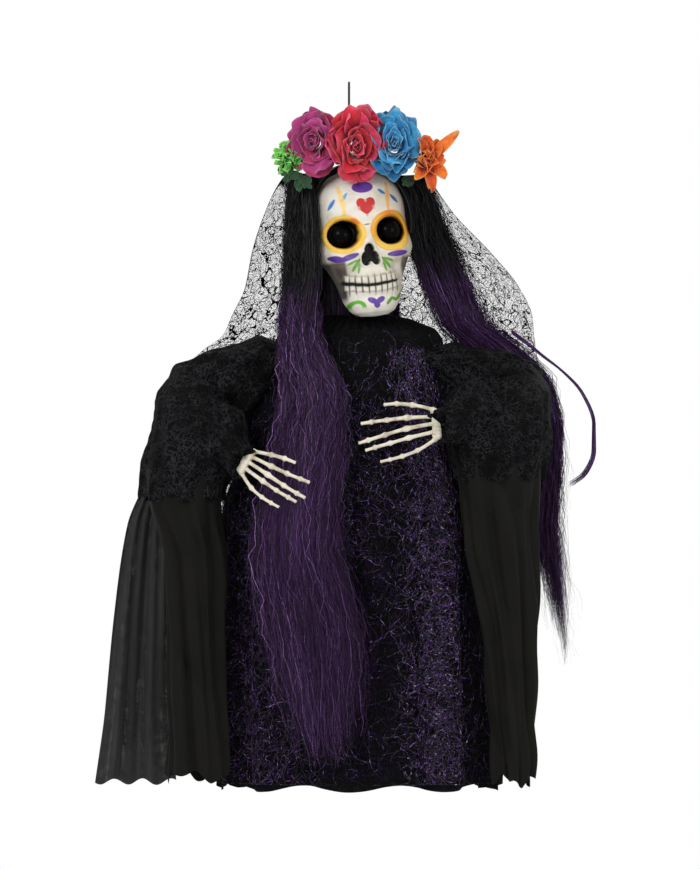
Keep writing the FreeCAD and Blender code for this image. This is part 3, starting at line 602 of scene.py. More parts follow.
# ---------------------------------------------------------------- CAD pieces that keep their shape
KEPT = {
    "cord": ["cord_knot"],
    "rivet": ["cord_washer", "shoulder_rivets", "right_elbow_rivet", "left_elbow_rivet",
              "right_wrist_rivet", "left_wrist_rivet"],
    "eye_gloss": ["right_eye", "left_eye"],
    "inner_plastic": ["neck_socket", "neck_post", "shoulder_yoke"],
    "wire": ["right_upper_arm", "left_upper_arm", "right_forearm", "left_forearm"],
    "wig_cap": ["hair_cap", "headband"],
    "stuffing": ["chest_form"],
}
for finish, names in KEPT.items():
    for name in names:
        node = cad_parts[name]
        node.data.materials.clear()
        node.data.materials.append(MATERIALS[finish])

# ---------------------------------------------------------------- skull
SKULL_CENTRE = np.array([14.4, -2.0, -206.0])
SKULL_YAW = math.radians(9.0)
SKULL_ROLL = math.radians(-6.0)
SKULL_SEAM_Y = 14.0
# height, half width, front, back
SKULL_SECTIONS = [
    (-97.5, 18, -68, -36), (-92, 28, -74, -24), (-74, 38, -77, -8), (-55, 43, -78, 2), (-32, 53, -75, 15),
    (-10, 65, -68, 44), (15, 63, -67, 62), (40, 64, -68, 72), (64, 58, -60, 66), (84, 42, -42, 50),
    (97.5, 12, -10, 18),
]
EYE_X = 30.8
EYE_SHIFT = 1.6              # the painted face sits a little to its left
EYE_Z = 10.0


def out_of_skull(points):
    """Points given from the skull's centre, in the figure's frame."""
    x, y, z = points[..., 0], points[..., 1], points[..., 2]
    turned_x = x * math.cos(SKULL_YAW) - y * math.sin(SKULL_YAW)
    turned_y = x * math.sin(SKULL_YAW) + y * math.cos(SKULL_YAW)
    rolled_x = turned_x * math.cos(SKULL_ROLL) + z * math.sin(SKULL_ROLL)
    rolled_z = -turned_x * math.sin(SKULL_ROLL) + z * math.cos(SKULL_ROLL)
    return np.stack([rolled_x, turned_y, rolled_z], axis=-1) + SKULL_CENTRE


def oval(x, z, cx, cz, half_x, half_z, tilt=0.0):
    """1 on the rim of an oval, less inside and more outside."""
    turn = math.radians(tilt)
    dx = (x - cx) * math.cos(turn) + (z - cz) * math.sin(turn)
    dz = -(x - cx) * math.sin(turn) + (z - cz) * math.cos(turn)
    return np.sqrt((dx / half_x) ** 2 + (dz / half_z) ** 2)


def stroke(x, z, start, end, width, taper):
    """A brush stroke: 1 on it, 0 off it."""
    sx, sz = start
    ex, ez = end
    dx, dz = ex - sx, ez - sz
    along = np.clip(((x - sx) * dx + (z - sz) * dz) / (dx * dx + dz * dz), 0.0, 1.0)
    distance = np.hypot(x - sx - along * dx, z - sz - along * dz)
    half = width / 2.0 * (1.0 - taper * np.abs(2.0 * along - 1.0) ** 2)
    return smooth(half + 0.5, half - 0.5, distance)


def heart(x, z, cx, cz, size):
    """1 inside a heart."""
    u = (x - cx) / size
    v = (z - cz) / size + 0.08
    shape = (u * u + v * v - 0.62) ** 3 - u * u * v * v * v * 1.5
    return smooth(0.02, -0.02, shape)


def nose_hole(x, z):
    """Below 1 inside the upturned heart of the nose."""
    left = oval(x, z, -5.4, -23.5, 6.2, 9.5, -12.0)
    right = oval(x, z, 5.4, -23.5, 6.2, 9.5, 12.0)
    top = oval(x, z, 0.0, -15.0, 6.6, 10.5)
    septum = bell(x, 1.6) * smooth(-27.0, -33.0, z) * 0.3
    return np.minimum(np.minimum(left, right), top) + septum


TEETH_EDGES = [-37.0, -30.5, -23.0, -15.0, -7.0, 1.0, 9.0, 16.5, 24.0, 31.0]
BITE_Z = -58.0
BITE_BEND = 0.0035            # how fast the bite curves up to each side


def tooth_gap(x):
    """1 in the groove between two teeth."""
    gap = np.zeros_like(x)
    for edge in TEETH_EDGES:
        gap = np.maximum(gap, bell(x - edge, 0.85))
    return gap


def teeth_rows(x, z):
    """How far up the teeth a point is: 1 on them and 0 off them, upper and lower."""
    bend = BITE_BEND * x * x
    across = smooth(-38.5, -36.0, x) * smooth(32.5, 30.0, x)
    upper = smooth(BITE_Z + bend + 0.2, BITE_Z + bend + 1.4, z) * smooth(-46.5 + bend, -49.0 + bend,
            z) * across
    lower = smooth(BITE_Z + bend - 1.2, BITE_Z + bend - 2.4, z) * smooth(-68.5 + bend, -66.0 + bend,
            z) * across
    return upper, lower


# brow, cheekbone, cheek, temple, jaw corner, jaw side and forehead of one side: height (below 0 for a
# hollow), centre x and z, half width, half height and tilt
SIDE_BUMPS = [
    (3.0, 30.0, 33.0, 24.0, 7.0, 6.0), (5.2, 43.0, -15.0, 15.0, 8.5, 18.0),
    (-6.0, 36.0, -40.0, 12.0, 15.0, -10.0),
    (-3.0, 60.0, 34.0, 16.0, 20.0, 0.0), (2.2, 36.0, -78.0, 9.0, 11.0, -25.0),
    (-5.0, 47.0, -52.0, 7.0, 26.0, -6.0),
    (1.6, 26.0, 62.0, 22.0, 16.0, 0.0),
]
# bridge of the nose, its root, muzzle, chin and the dip above it: height, centre z, half width and
# half height
MIDDLE_BUMPS = [(5.5, 6.0, 9.0, 16.0), (-1.5, 22.0, 14.0, 7.0), (4.2, -52.0, 37.0, 21.0),
                (3.0, -86.0, 18.0, 9.0),
                (-1.6, -73.0, 22.0, 4.0)]


def skull_relief(x, z, side):
    """Modelled bone: how far out (positive) and how far in along the face (cut) at a point of the face."""
    out = np.zeros_like(x)
    cut = np.zeros_like(x)
    for s in (-1.0, 1.0):
        rim = oval(x, z, s * EYE_X + EYE_SHIFT, EYE_Z, 20.5, 19.0)
        out += 2.6 * bell(rim - 1.16, 0.14) * smooth(-12.0, 6.0, z)
        cut += 23.0 * smooth(1.02, 0.80, rim)
        for height, cx, cz, half_x, half_z, tilt in SIDE_BUMPS:
            out += height * bell(oval(x, z, s * cx, cz, half_x, half_z, s * tilt), 1.0)
    for height, cz, half_x, half_z in MIDDLE_BUMPS:
        out += height * bell(oval(x, z, 0.0, cz, half_x, half_z), 1.0)
    hole = nose_hole(x, z)
    out += 2.6 * bell(hole - 1.25, 0.25) * smooth(-40.0, -30.0, z)
    cut += 15.0 * smooth(1.04, 0.86, hole)
    upper, lower = teeth_rows(x, z)
    tooth = np.maximum(upper, lower)
    out += tooth * (1.3 - 2.4 * tooth_gap(x))
    roots = smooth(-34.0, -46.0, z) * smooth(-82.0, -72.0, z) * (1.0 - tooth)
    out += roots * 0.5 * (1.0 - 2.0 * tooth_gap(x)) * smooth(34.0, 26.0, np.abs(x))
    cut += 3.2 * bell(z - BITE_Z - BITE_BEND * x * x, 1.5) * smooth(39.0, 35.0, np.abs(x + 3.0))
    out += 0.25 * wander(np.stack([x, z, x * 0.4], axis=-1), 7.0, 11)
    return out * side, cut


BONE = decoded(226, 221, 210)
BONE_SHADE_AND_TONE = decoded(206, 197, 172)
INK = decoded(14, 11, 11)
PURPLE = decoded(92, 52, 150)
RED = decoded(196, 34, 34)
BLUE = decoded(48, 122, 186)
GREEN = decoded(96, 150, 44)
LEAF_GREEN = decoded(92, 176, 44)
GOLD = decoded(226, 160, 34)
YELLOW = decoded(244, 200, 84)
ORANGE = decoded(226, 120, 40)
RAMUS = decoded(34, 27, 25)


def skull_colours(x, z, side, out):
    """What is painted on each point of the face."""
    paint = np.broadcast_to(BONE, (*x.shape, 3)).copy()

    def lay(colour, share):
        share = np.clip(share, 0.0, 1.0)[..., None]
        paint[:] = paint * (1.0 - share) + np.asarray(colour) * share

    def brush(colour, start, end, width, taper, strength=1.0):
        lay(colour, stroke(x, z, start, end, width, taper) * strength)

    spots = wander(np.stack([x, z, x - z], axis=-1), 9.0, 21)
    # painted shade: the bone is coloured warmer and darker towards positive x, the side turned from the
    # light, with random warmer spots on top
    lay(BONE_SHADE_AND_TONE, smooth(-5.0, 60.0, x) * 0.55 + 0.12 * spots)
    ramus = np.maximum(smooth(-30.0, -35.0, x), smooth(42.0, 47.0, x))
    lay(RAMUS, ramus * smooth(-21.0, -28.0, z) * smooth(-80.0, -70.0, z) * 0.95)
    # painted shade: darker brown where the face is sunk about 3 mm, in the hollows of the relief
    lay(decoded(150, 135, 112), bell(out + 3.0, 1.6) * 0.35 * side)
    # rings round the sockets
    wobble = 0.03 * wander(np.stack([x, z, z], axis=-1), 4.0, 5)
    left = oval(x, z, EYE_SHIFT - EYE_X, EYE_Z, 20.5, 19.0) + wobble
    right = oval(x, z, EYE_SHIFT + EYE_X, EYE_Z, 20.5, 19.0) + wobble
    lay(YELLOW, smooth(1.36, 1.28, left))
    lay(ORANGE, smooth(1.28, 1.2, left) * bell(oval(x, z, -14.0, 26.0, 7.0, 7.0), 1.0) * 1.4)
    lay(GOLD, smooth(1.34, 1.28, left) * smooth(1.1, 1.0, left) * 0.5)
    lay(GOLD, smooth(1.44, 1.38, right))
    lay(YELLOW, smooth(1.4, 1.3, right) * smooth(EYE_Z - 4.0, EYE_Z - 16.0, z) * 0.9)
    lay(ORANGE, smooth(1.4, 1.3, right) * bell(oval(x, z, 29.0, 34.0, 9.0, 6.0), 1.0))
    lay(INK, smooth(0.98, 0.9, left))
    lay(INK, smooth(0.98, 0.9, right))
    # forehead
    lay(PURPLE, smooth(1.06, 0.96, oval(x, z, 1.0, 69.0, 13.6, 7.4)))
    lay(RED, heart(x, z, 1.9, 42.5, 12.5))
    brush(BLUE, (-45.0, 44.0), (-36.0, 56.0), 4.4, 0.6)
    brush(decoded(96, 160, 210), (-28.0, 53.0), (-20.0, 63.0), 4.2, 0.6)
    brush(BLUE, (21.0, 64.0), (29.0, 58.0), 4.4, 0.6)
    brush(decoded(34, 92, 158), (37.0, 56.0), (47.0, 46.0), 4.8, 0.6)
    brush(YELLOW, (-29.0, 72.0), (-26.0, 34.0), 6.4, 0.5, 0.8)
    brush(decoded(236, 168, 70), (34.0, 72.0), (31.0, 38.0), 6.4, 0.5, 0.85)
    brush(decoded(92, 74, 60), (-4.0, 20.0), (5.0, 20.6), 2.0, 0.8, 0.8)
    # cheeks
    brush(PURPLE, (-50.0, -19.0), (-33.0, -23.0), 9.0, 0.5)
    brush(PURPLE, (-37.0, -23.0), (-16.0, -17.0), 7.6, 0.5)
    brush(PURPLE, (25.0, -21.0), (50.0, -20.0), 7.8, 0.5)
    for s in (-1.0, 1.0):
        lay(GREEN, bell(oval(x, z, s * 20.0, -32.0, 8.0, 7.0), 1.0) * 0.4)
        brush(GREEN, (s * 14.5, -24.0), (s * 25.0, -38.0), 4.6, 0.5)
        brush(GREEN, (s * 15.5, -30.0), (s * 18.0, -42.0), 3.4, 0.6)
        brush(GREEN, (s * 17.0, -24.5), (s * 31.0, -30.0), 3.4, 0.7)
    # nose and mouth
    hole = nose_hole(x, z)
    lay(INK, smooth(1.05, 0.95, hole))
    upper, lower = teeth_rows(x, z)
    tooth = np.maximum(upper, lower)
    lay(decoded(232, 228, 212), tooth * 0.8)
    ends = smooth(41.0, 34.0, np.abs(x + 3.0))
    uneven = wander(np.stack([x, z * 0.3, np.zeros_like(x)], axis=-1), 2.6, 61)
    lay(decoded(38, 29, 25), tooth_gap(x) * smooth(-42.0 + 3.0 * uneven, -50.0,
            z) * smooth(-72.0 + 3.0 * uneven, -66.0, z) * ends)
    bite = BITE_Z + BITE_BEND * x * x
    lay(INK, bell(z - bite - 0.8 * uneven, 2.1 - 0.018 * x) * ends * 1.4)
    gum = np.maximum(bell(z - bite - 11.0 - uneven, 1.6), bell(z - bite + 9.0 - uneven, 1.3))
    lay(decoded(96, 76, 60), gum * ends * (0.35 + 0.25 * uneven))
    # chin
    arch = np.abs(np.hypot(x + 23.0, (z + 86.0) * 1.15) - 8.5)
    lay(LEAF_GREEN, smooth(3.2, 2.0, arch) * smooth(-89.0, -84.0, z))
    brush(LEAF_GREEN, (-34.0, -84.0), (-28.0, -78.0), 3.6, 0.4, 0.8)
    lay(PURPLE, smooth(1.1, 0.95, oval(x, z, -4.0, -78.5, 6.5, 3.6, -28.0)))
    lay(PURPLE, smooth(1.1, 0.95, oval(x, z, 6.0, -78.5, 6.5, 3.6, 28.0)))
    lay(PURPLE, smooth(1.1, 0.95, oval(x, z, 1.0, -83.5, 4.0, 5.0)))
    brush(GREEN, (15.0, -84.0), (22.0, -77.0), 4.4, 0.3)
    brush(GREEN, (22.0, -77.0), (28.0, -80.0), 4.4, 0.3)
    brush(GREEN, (28.0, -80.0), (37.0, -71.0), 4.4, 0.4)
    return paint


def skull_face():
    rows, columns = 330, 300
    z = np.linspace(97.4, -97.4, rows)
    half, front, back = section_at(SKULL_SECTIONS, z)
    middle = (front + back) / 2.0
    depth = (back - front) / 2.0
    reach = np.clip((SKULL_SEAM_Y - middle) / depth, -1.0, 1.0)
    span = np.degrees(np.arcsin(reach)) + 90.0
    t = np.linspace(-1.0, 1.0, columns)
    turn = np.radians(-90.0 + span[:, None] * t[None, :])
    nx = np.cos(turn)
    ny = np.sin(turn)
    base_x = half[:, None] * nx
    base_y = middle[:, None] + depth[:, None] * ny
    base_z = np.broadcast_to(z[:, None], base_x.shape)
    facing = smooth(0.05, 0.55, -ny)
    out, cut = skull_relief(base_x, base_z, facing)
    points = np.stack([base_x + out * nx * 0.6, base_y + out * np.minimum(ny, 0.4) + cut * facing, base_z],
                      axis=-1)
    colours = skull_colours(base_x, base_z, facing, out)
    top = np.repeat(points[:1].mean(axis=1, keepdims=True), columns, axis=1) + np.array([0.0, 0.0, 1.0])
    foot = np.repeat(points[-1:].mean(axis=1, keepdims=True), columns, axis=1) - np.array([0.0, 0.0, 1.5])
    points = np.concatenate([top, points, foot])
    colours = np.concatenate([colours[:1], colours, colours[-1:]])
    mesh = grid_mesh("skull_face_look", out_of_skull(points), False, colours)
    return link("skull_face_look", mesh, MATERIALS["skull_paint"], "head", ("skull_face",))


def skull_back():
    rows, columns = 90, 120
    z = np.linspace(97.4, -40.0, rows)
    half, front, back = section_at(SKULL_SECTIONS, z)
    middle = (front + back) / 2.0
    depth = (back - front) / 2.0
    reach = np.clip((SKULL_SEAM_Y - middle) / depth, -1.0, 0.995)
    start = np.degrees(np.arcsin(reach))
    t = np.linspace(0.0, 1.0, columns)
    turn = np.radians(start[:, None] + (180.0 - 2.0 * start[:, None]) * t[None, :])
    x = half[:, None] * np.cos(turn)
    y = middle[:, None] + depth[:, None] * np.sin(turn)
    points = np.stack([x, y, np.broadcast_to(z[:, None], x.shape)], axis=-1)
    points[..., 1] += 0.4 * wander(points, 12.0, 3)
    colours = np.broadcast_to(BONE, (*x.shape, 3)) * (0.9 + 0.08 * wander(points, 15.0, 9)[..., None])
    mesh = grid_mesh("skull_back_look", out_of_skull(points), False, colours)
    return link("skull_back_look", mesh, MATERIALS["skull_paint"], "head", ("skull_back",))


skull_face()
skull_back()

# ---------------------------------------------------------------- flowers
def petal(centre, axis, around, start, length, width, bend, cup, ruffle, seed, point=0.0, stretch=1.0):
    """One petal as a grid of points, root first. bend is its lean from the flower's axis at root and tip."""
    rows, columns = 15, 19
    v = np.linspace(0.0, 1.0, rows)[:, None]
    u = np.linspace(-1.0, 1.0, columns)[None, :]
    lean = np.radians(bend[0] + (bend[1] - bend[0]) * v ** 1.4)
    step = length / (rows - 1)
    reach = start + np.cumsum(np.sin(lean), axis=0) * step
    height = np.cumsum(np.cos(lean), axis=0) * step
    blunt = (0.40 + 0.60 * np.sin(np.pi / 2.0 * np.minimum(v * 1.5,
            1.0))) * np.sqrt(1.0 - np.clip((v - 0.62) / 0.46, 0.0, 1.0) ** 2)
    sharp = np.sin(np.pi * (0.16 + 0.80 * v)) ** 0.75
    half = width * (blunt * (1.0 - point) + sharp * point) / 2.0
    tip = 1.0 - (1.0 - point) * 0.10 * u ** 2 * v ** 2
    arc = u * half / abs(cup)
    across = abs(cup) * np.sin(arc)
    lift = cup * (1.0 - np.cos(arc))
    rng = np.random.default_rng(seed)
    phase = rng.uniform(0, 6.28, 4)
    wave = ruffle * v ** 2 * (np.sin(3.0 * u + phase[0]) + 0.35 * np.sin(7.0 * u + phase[1])
                              * (0.3 + np.abs(u))
                              + 0.5 * np.sin(6.0 * v + phase[2]) * u)
    axis = np.asarray(axis, float) / np.linalg.norm(axis)
    up = np.array([0.0, 0.0, 1.0]) - axis * axis[2]
    up /= np.linalg.norm(up)
    side = np.cross(axis, up)
    outward = side * math.cos(around) + up * math.sin(around)
    sideways = -side * math.sin(around) + up * math.cos(around)
    off = lift + wave
    r = (reach * tip - off * np.cos(lean))[..., None]
    h = (height * tip + off * np.sin(lean))[..., None]
    points = r * outward + h * axis + across[..., None] * sideways
    lifted = points @ up
    points = points + (lifted * (stretch - 1.0))[..., None] * up
    return points + np.asarray(centre, float)


def many_petals(name, petals, sets, tones, node, material="petal"):
    """A flower from its petals, each with a colour at its root, middle and edge."""
    all_points, all_quads, all_paint, first = [], [], [], 0
    for i, (grid, (deep, mid, rim), tone) in enumerate(zip(petals, sets, tones)):
        rows, columns = grid.shape[:2]
        v = np.linspace(0.0, 1.0, rows)[:, None]
        u = np.abs(np.linspace(-1.0, 1.0, columns))[None, :]
        v, u = np.broadcast_arrays(v, u)
        share = smooth(0.15, 0.75, v)[..., None]
        edge = np.clip(smooth(0.86, 1.0, v) + smooth(0.9, 1.0, u) * v, 0, 1)[..., None]
        paint = deep * (1 - share) + mid * share
        paint = paint * (1 - 0.8 * edge) + rim * 0.8 * edge
        fleck = 1.0 + 0.14 * wander(grid, 4.0, 700 + i)[..., None]
        all_points.append(grid.reshape(-1, 3))
        all_quads.append(grid_quads(rows, columns, False, first))
        all_paint.append((paint * tone * fleck).reshape(-1, 3))
        first += rows * columns
    mesh = build_mesh(name, np.concatenate(all_points), np.concatenate(all_quads),
                      np.clip(np.concatenate(all_paint), 0, 1))
    flower = link(name, mesh, MATERIALS[material], "head", (node,))
    thick = flower.modifiers.new("cloth", "SOLIDIFY")
    thick.thickness = 0.0004
    return flower


def rose(name, node, centre, axis, size, stretch, colours, seed, rings, lean=(0.0, 0.0)):
    """A fabric rose: rings of petals from the bud to the outside."""
    rng = np.random.default_rng(seed)
    petals, sets, tones = [], [], []
    for count, start, length, width, bend, cup, ruffle in rings:
        turn = rng.uniform(0, 6.28)
        for i in range(count):
            around = turn + 2 * math.pi * i / count + rng.uniform(-0.22, 0.22)
            swing = 1.0 + lean[0] * math.cos(around) + lean[1] * math.sin(around)
            petals.append(petal(centre, axis, around, start * size,
                                length * size * swing * rng.uniform(0.9, 1.1),
                                width * size * rng.uniform(0.9, 1.12),
                                (bend[0] + rng.uniform(-9, 9), bend[1] + rng.uniform(-18, 14)),
                                cup * size, ruffle * size, int(rng.integers(1e6)), 0.0, stretch))
            picked = colours[int(rng.integers(len(colours)))]
            sets.append(picked)
            tones.append(rng.uniform(0.82, 1.12))
    return many_petals(name, petals, sets, tones, node)


# petals, start, length, width, lean at root and tip, cup radius, ruffle, for a rose of size 1
ROSE_RINGS = [
    (3, 0.8, 13.0, 12.0, (3.0, -10.0), 3.4, 0.5),
    (4, 2.4, 16.0, 17.0, (8.0, 4.0), 6.0, 1.2),
    (5, 4.2, 19.0, 23.0, (14.0, 24.0), 10.0, 2.0),
    (5, 6.0, 21.0, 31.0, (24.0, 46.0), 18.0, 3.4),
    (5, 7.5, 25.0, 36.0, (36.0, 66.0), 26.0, 6.0),
    (5, 8.5, 29.0, 38.0, (48.0, 80.0), 40.0, 7.5),
    (6, 8.0, 30.0, 38.0, (62.0, 98.0), 60.0, 8.0),
]
MAGENTA = [
    (decoded(92, 12, 50), decoded(158, 38, 104), decoded(196, 70, 146)),
    (decoded(110, 14, 66), decoded(174, 46, 120), decoded(206, 92, 160)),
    (decoded(120, 10, 44), decoded(166, 30, 84), decoded(190, 60, 130)),
]
ROSE_RED = [
    (decoded(150, 6, 30), decoded(214, 22, 52), decoded(240, 84, 120)),
    (decoded(170, 12, 50), decoded(226, 44, 92), decoded(244, 110, 150)),
    (decoded(120, 4, 20), decoded(196, 14, 34), decoded(232, 60, 84)),
]
ROSE_BLUE = [
    (decoded(4, 78, 132), decoded(20, 136, 196), decoded(96, 184, 220)),
    (decoded(6, 96, 156), decoded(40, 156, 210), decoded(140, 200, 224)),
    (decoded(2, 62, 112), decoded(14, 118, 178), decoded(70, 170, 206)),
]
PETAL_ORANGE = [
    (decoded(200, 60, 8), decoded(240, 106, 24), decoded(248, 150, 50)),
    (decoded(214, 80, 10), decoded(246, 132, 36), decoded(255, 186, 70)),
]

rose("magenta_rose_look", "magenta_rose", (-42.0, -50.0, -78.0), (-0.4, -1.0, 0.05), 0.98,
     1.2, MAGENTA, 41,
     ROSE_RINGS)
rose("red_rose_look", "red_rose", (6.0, -56.0, -84.0), (0.32, -1.0, 0.05), 1.06, 1.36, ROSE_RED,
     57,
     ROSE_RINGS, (0.0, 0.08))
rose("blue_rose_look", "blue_rose", (58.0, -46.0, -84.0), (0.1, -1.0, 0.5), 0.92, 1.5, ROSE_BLUE,
     63,
     ROSE_RINGS, (0.0, 0.12))


def orange_flower():
    """A loose open bloom with long twisted tips."""
    rng = np.random.default_rng(77)
    petals, sets, tones = [], [], []
    plan = [(2.52, 54.0, 15.0, (40.0, 66.0)), (0.9, 34.0, 20.0, (24.0, 50.0)),
            (1.5, 30.0, 24.0, (30.0, 70.0)), (2.3, 30.0, 24.0, (34.0, 76.0)),
            (3.1, 25.0, 22.0, (40.0, 80.0)), (3.9, 31.0, 22.0, (44.0, 84.0)), (4.7, 36.0, 22.0, (46.0, 84.0)),
            (5.5, 30.0, 24.0, (40.0, 78.0)), (6.1, 28.0, 22.0, (30.0, 66.0)), (0.3, 24.0, 22.0, (10.0, 36.0)),
            (1.9, 22.0, 22.0, (8.0, 30.0)), (3.5, 22.0, 20.0, (10.0, 30.0)), (5.0, 24.0, 20.0, (10.0, 36.0)),
            (2.7, 18.0, 16.0, (2.0, 6.0)), (4.4, 18.0, 16.0, (2.0, 8.0)), (0.6, 18.0, 16.0, (2.0, 10.0))]
    for around, length, width, bend in plan:
        petals.append(petal((97.0, -36.0, -104.0), (0.35, -1.0, 0.25), around, 3.0, length, width, bend, 9.0,
                            4.6,
                            int(rng.integers(1e6)), 0.45 if length < 50.0 else 0.9, 1.2))
        sets.append(PETAL_ORANGE[int(rng.integers(2))])
        tones.append(rng.uniform(0.86, 1.12))
    return many_petals("orange_flower_look", petals, sets, tones, "orange_flower")


def fluffy_flower():
    """A small bright green pompon; leaves() makes the dark green leaves under it."""
    rng = np.random.default_rng(88)
    petals, sets, tones = [], [], []
    bright = (decoded(60, 160, 30), decoded(104, 214, 70), decoded(160, 236, 130))
    for _ in range(64):
        axis = rng.normal(size=3) + np.array([-0.3, -1.2, 0.3])
        petals.append(petal((-77.0, -40.0, -99.0), axis, rng.uniform(0, 6.28), 1.0, rng.uniform(15.0, 25.0),
                            rng.uniform(8.0, 13.0), (20.0, rng.uniform(30.0, 90.0)), 4.0, 2.2,
                            int(rng.integers(1e6)), 0.5))
        sets.append(bright)
        tones.append(rng.uniform(0.75, 1.15))
    return many_petals("green_flower_look", petals, sets, tones, "green_flower")


def leaves():
    rng = np.random.default_rng(99)
    petals, sets, tones = [], [], []
    dark = (decoded(10, 52, 22), decoded(20, 84, 38), decoded(40, 112, 58))
    places = [(-66, -50, -122), (-74, -48, -116), (-58, -52, -120), (-80, -44, -108), (-62, -54, -126),
              (84, -46, -124)]
    for place in places:
        for _ in range(5):
            around = rng.uniform(3.4, 6.0)
            petals.append(petal(place, (0.0, -1.0, 0.1), around, 1.0, rng.uniform(12.0, 19.0),
                                rng.uniform(7.0, 10.0),
                                (50.0, rng.uniform(70.0, 110.0)), 9.0, 1.2, int(rng.integers(1e6)), 0.8))
            sets.append(dark)
            tones.append(rng.uniform(0.6, 1.2))
    return many_petals("rose_leaves_look", petals, sets, tones, "rose_leaves", "leaf")


orange_flower()
fluffy_flower()
leaves()

# ---------------------------------------------------------------- hair
HAIR_BLACK = decoded(13, 12, 15)
HAIR_GREY = decoded(40, 38, 44)
HAIR_PURPLE = decoded(68, 30, 84)
HAIR_LILAC = decoded(150, 112, 176)
# heights at which the black hair turns purple
RIGHT_PURPLE_Z = -285.0
LEFT_PURPLE_Z = -262.0
BACK_PURPLE_Z = -290.0
CAP_EDGE_Z = -150.0
RIGHT_LOCK = [
    (-118, -58, -24, 14, 13), (-124, -60, -24, 15, 13), (-181, -62, -30, 18, 13), (-240, -62, -44, 20, 13),
    (-320, -64, -72, 24, 13), (-411, -48, -104, 42, 11), (-593, -66, -116, 60, 11), (-723, -45, -117, 76, 10),
    (-810, -36, -117, 66, 8), (-886, -28, -116, 56, 5),
]
LEFT_LOCK = [
    (-128, 88, 6, 12, 9), (-138, 92, 8, 14, 9), (-181, 103, 14, 19, 9), (-222, 116, 20, 24, 9),
    (-264, 130, 28, 26, 9),
    (-310, 150, 36, 29, 9), (-345, 190, 54, 34, 8), (-390, 240, 58, 26, 8), (-450, 262, 58, 16, 8),
    (-560, 258, 58, 17, 8), (-660, 270, 58, 15, 7), (-760, 284, 58, 8, 5),
]
BACK_HAIR = [
    (-150, 8, 80, 34, 6), (-170, 8, 88, 40, 6), (-260, 10, 92, 52, 7), (-345, 12, 96, 60, 7),
    (-450, 12, 100, 60, 7),
    (-560, 12, 101, 54, 6), (-640, 12, 101, 34, 5),
]


def hair_paint(z, switch, tone, purple_share):
    """Black at the roots and purple lower down."""
    share = smooth(switch + 34.0, switch - 34.0, z)[..., None] * purple_share[:, None, None]
    dark = HAIR_BLACK * (1 - tone[:, None, None] ** 2) + HAIR_GREY * tone[:, None, None] ** 2
    light = HAIR_PURPLE * (0.35 + 1.1 * tone[:, None, None]) + (HAIR_LILAC - HAIR_PURPLE) * tone[:, None,
            None] ** 2
    return np.clip(dark * (1 - share) + light * share, 0, 1)


def strands(name, sections, count, switch, tips, node, seed, width=0.9, spread=1.0, clumps=34, frizz=3.0,
            stands_for=True, gather=0.4, steps=34, kink=1.0):
    """Loose strands that fill a lock. tips is the range of heights that they end at."""
    rng = np.random.default_rng(seed)
    top = max(s[0] for s in sections)
    foot = min(s[0] for s in sections)
    clump_angle = rng.uniform(0, 2 * math.pi, clumps)
    clump_reach = np.sqrt(rng.uniform(0, 1, clumps))
    clump = rng.integers(clumps, size=count)
    angle = rng.uniform(0, 2 * math.pi, count)
    reach = np.sqrt(rng.uniform(0, 1, count)) * spread
    px = reach * np.cos(angle)
    py = reach * np.sin(angle)
    gx = clump_reach[clump] * np.cos(clump_angle[clump])
    gy = clump_reach[clump] * np.sin(clump_angle[clump])
    tip = rng.uniform(tips[0], tips[1], count) + rng.normal(0, 12, count) + rng.uniform(-10.0, 70.0,
            clumps)[clump]
    tip = np.clip(tip, 2 * foot, top - 40)
    tip = np.where(tip < foot, 2 * foot - tip, tip)
    t = np.linspace(0, 1, steps)[None, :]
    z = top + (tip[:, None] - top) * t
    cx, cy, a, b = section_at(sections, z.ravel())
    cx, cy, a, b = (value.reshape(z.shape) for value in (cx, cy, a, b))
    pull = gather * smooth(0.25, 1.0, t)
    sx = px[:, None] * (1 - pull) + gx[:, None] * pull
    sy = py[:, None] * (1 - pull) + gy[:, None] * pull
    phase = rng.uniform(0, 6.28, (4, clumps))[:, clump]
    own = rng.uniform(0, 6.28, (3, count))
    low = z / 90.0
    drift_x = np.sin(low + phase[0][:, None]) + 0.6 * np.sin(2.3 * low + phase[1][:, None])
    drift_y = np.sin(0.9 * low + phase[2][:, None])
    crimp = (np.sin(z / 5.5 + own[0][:, None]) * 0.7 + np.sin(z / 13.0 + own[1][:, None]) * 1.1) * kink
    loose = np.where(rng.uniform(size=count) < 0.12, 2.4, 1.0)[:, None]
    x = cx + a * sx + frizz * t * drift_x * loose + crimp * 0.8
    y = cy + b * sy + 0.6 * frizz * t * drift_y + 0.3 * np.sin(z / 21.0 + own[2][:, None])
    lines = np.stack([x, y, z], axis=-1)
    widths = width * rng.uniform(0.5, 1.3, count)[:, None] * (1.0 - 0.75 * smooth(0.7, 1.0, t))
    tone = np.clip(rng.beta(0.8, 2.6, count) * rng.uniform(0.3, 1.9, clumps)[clump], 0.0, 1.0)
    purple = np.where(rng.uniform(size=count) < 0.3, rng.uniform(0.1, 0.5, count),
                      rng.uniform(0.8, 1.0, count))
    paint = hair_paint(z + wander(lines, 60.0, seed + 1) * 20.0, switch, tone, purple)
    mesh = ribbons(name, lines, widths, paint, None, seed + 2)
    return link(name, mesh, MATERIALS["hair"], "head", (node,) if stands_for else ())


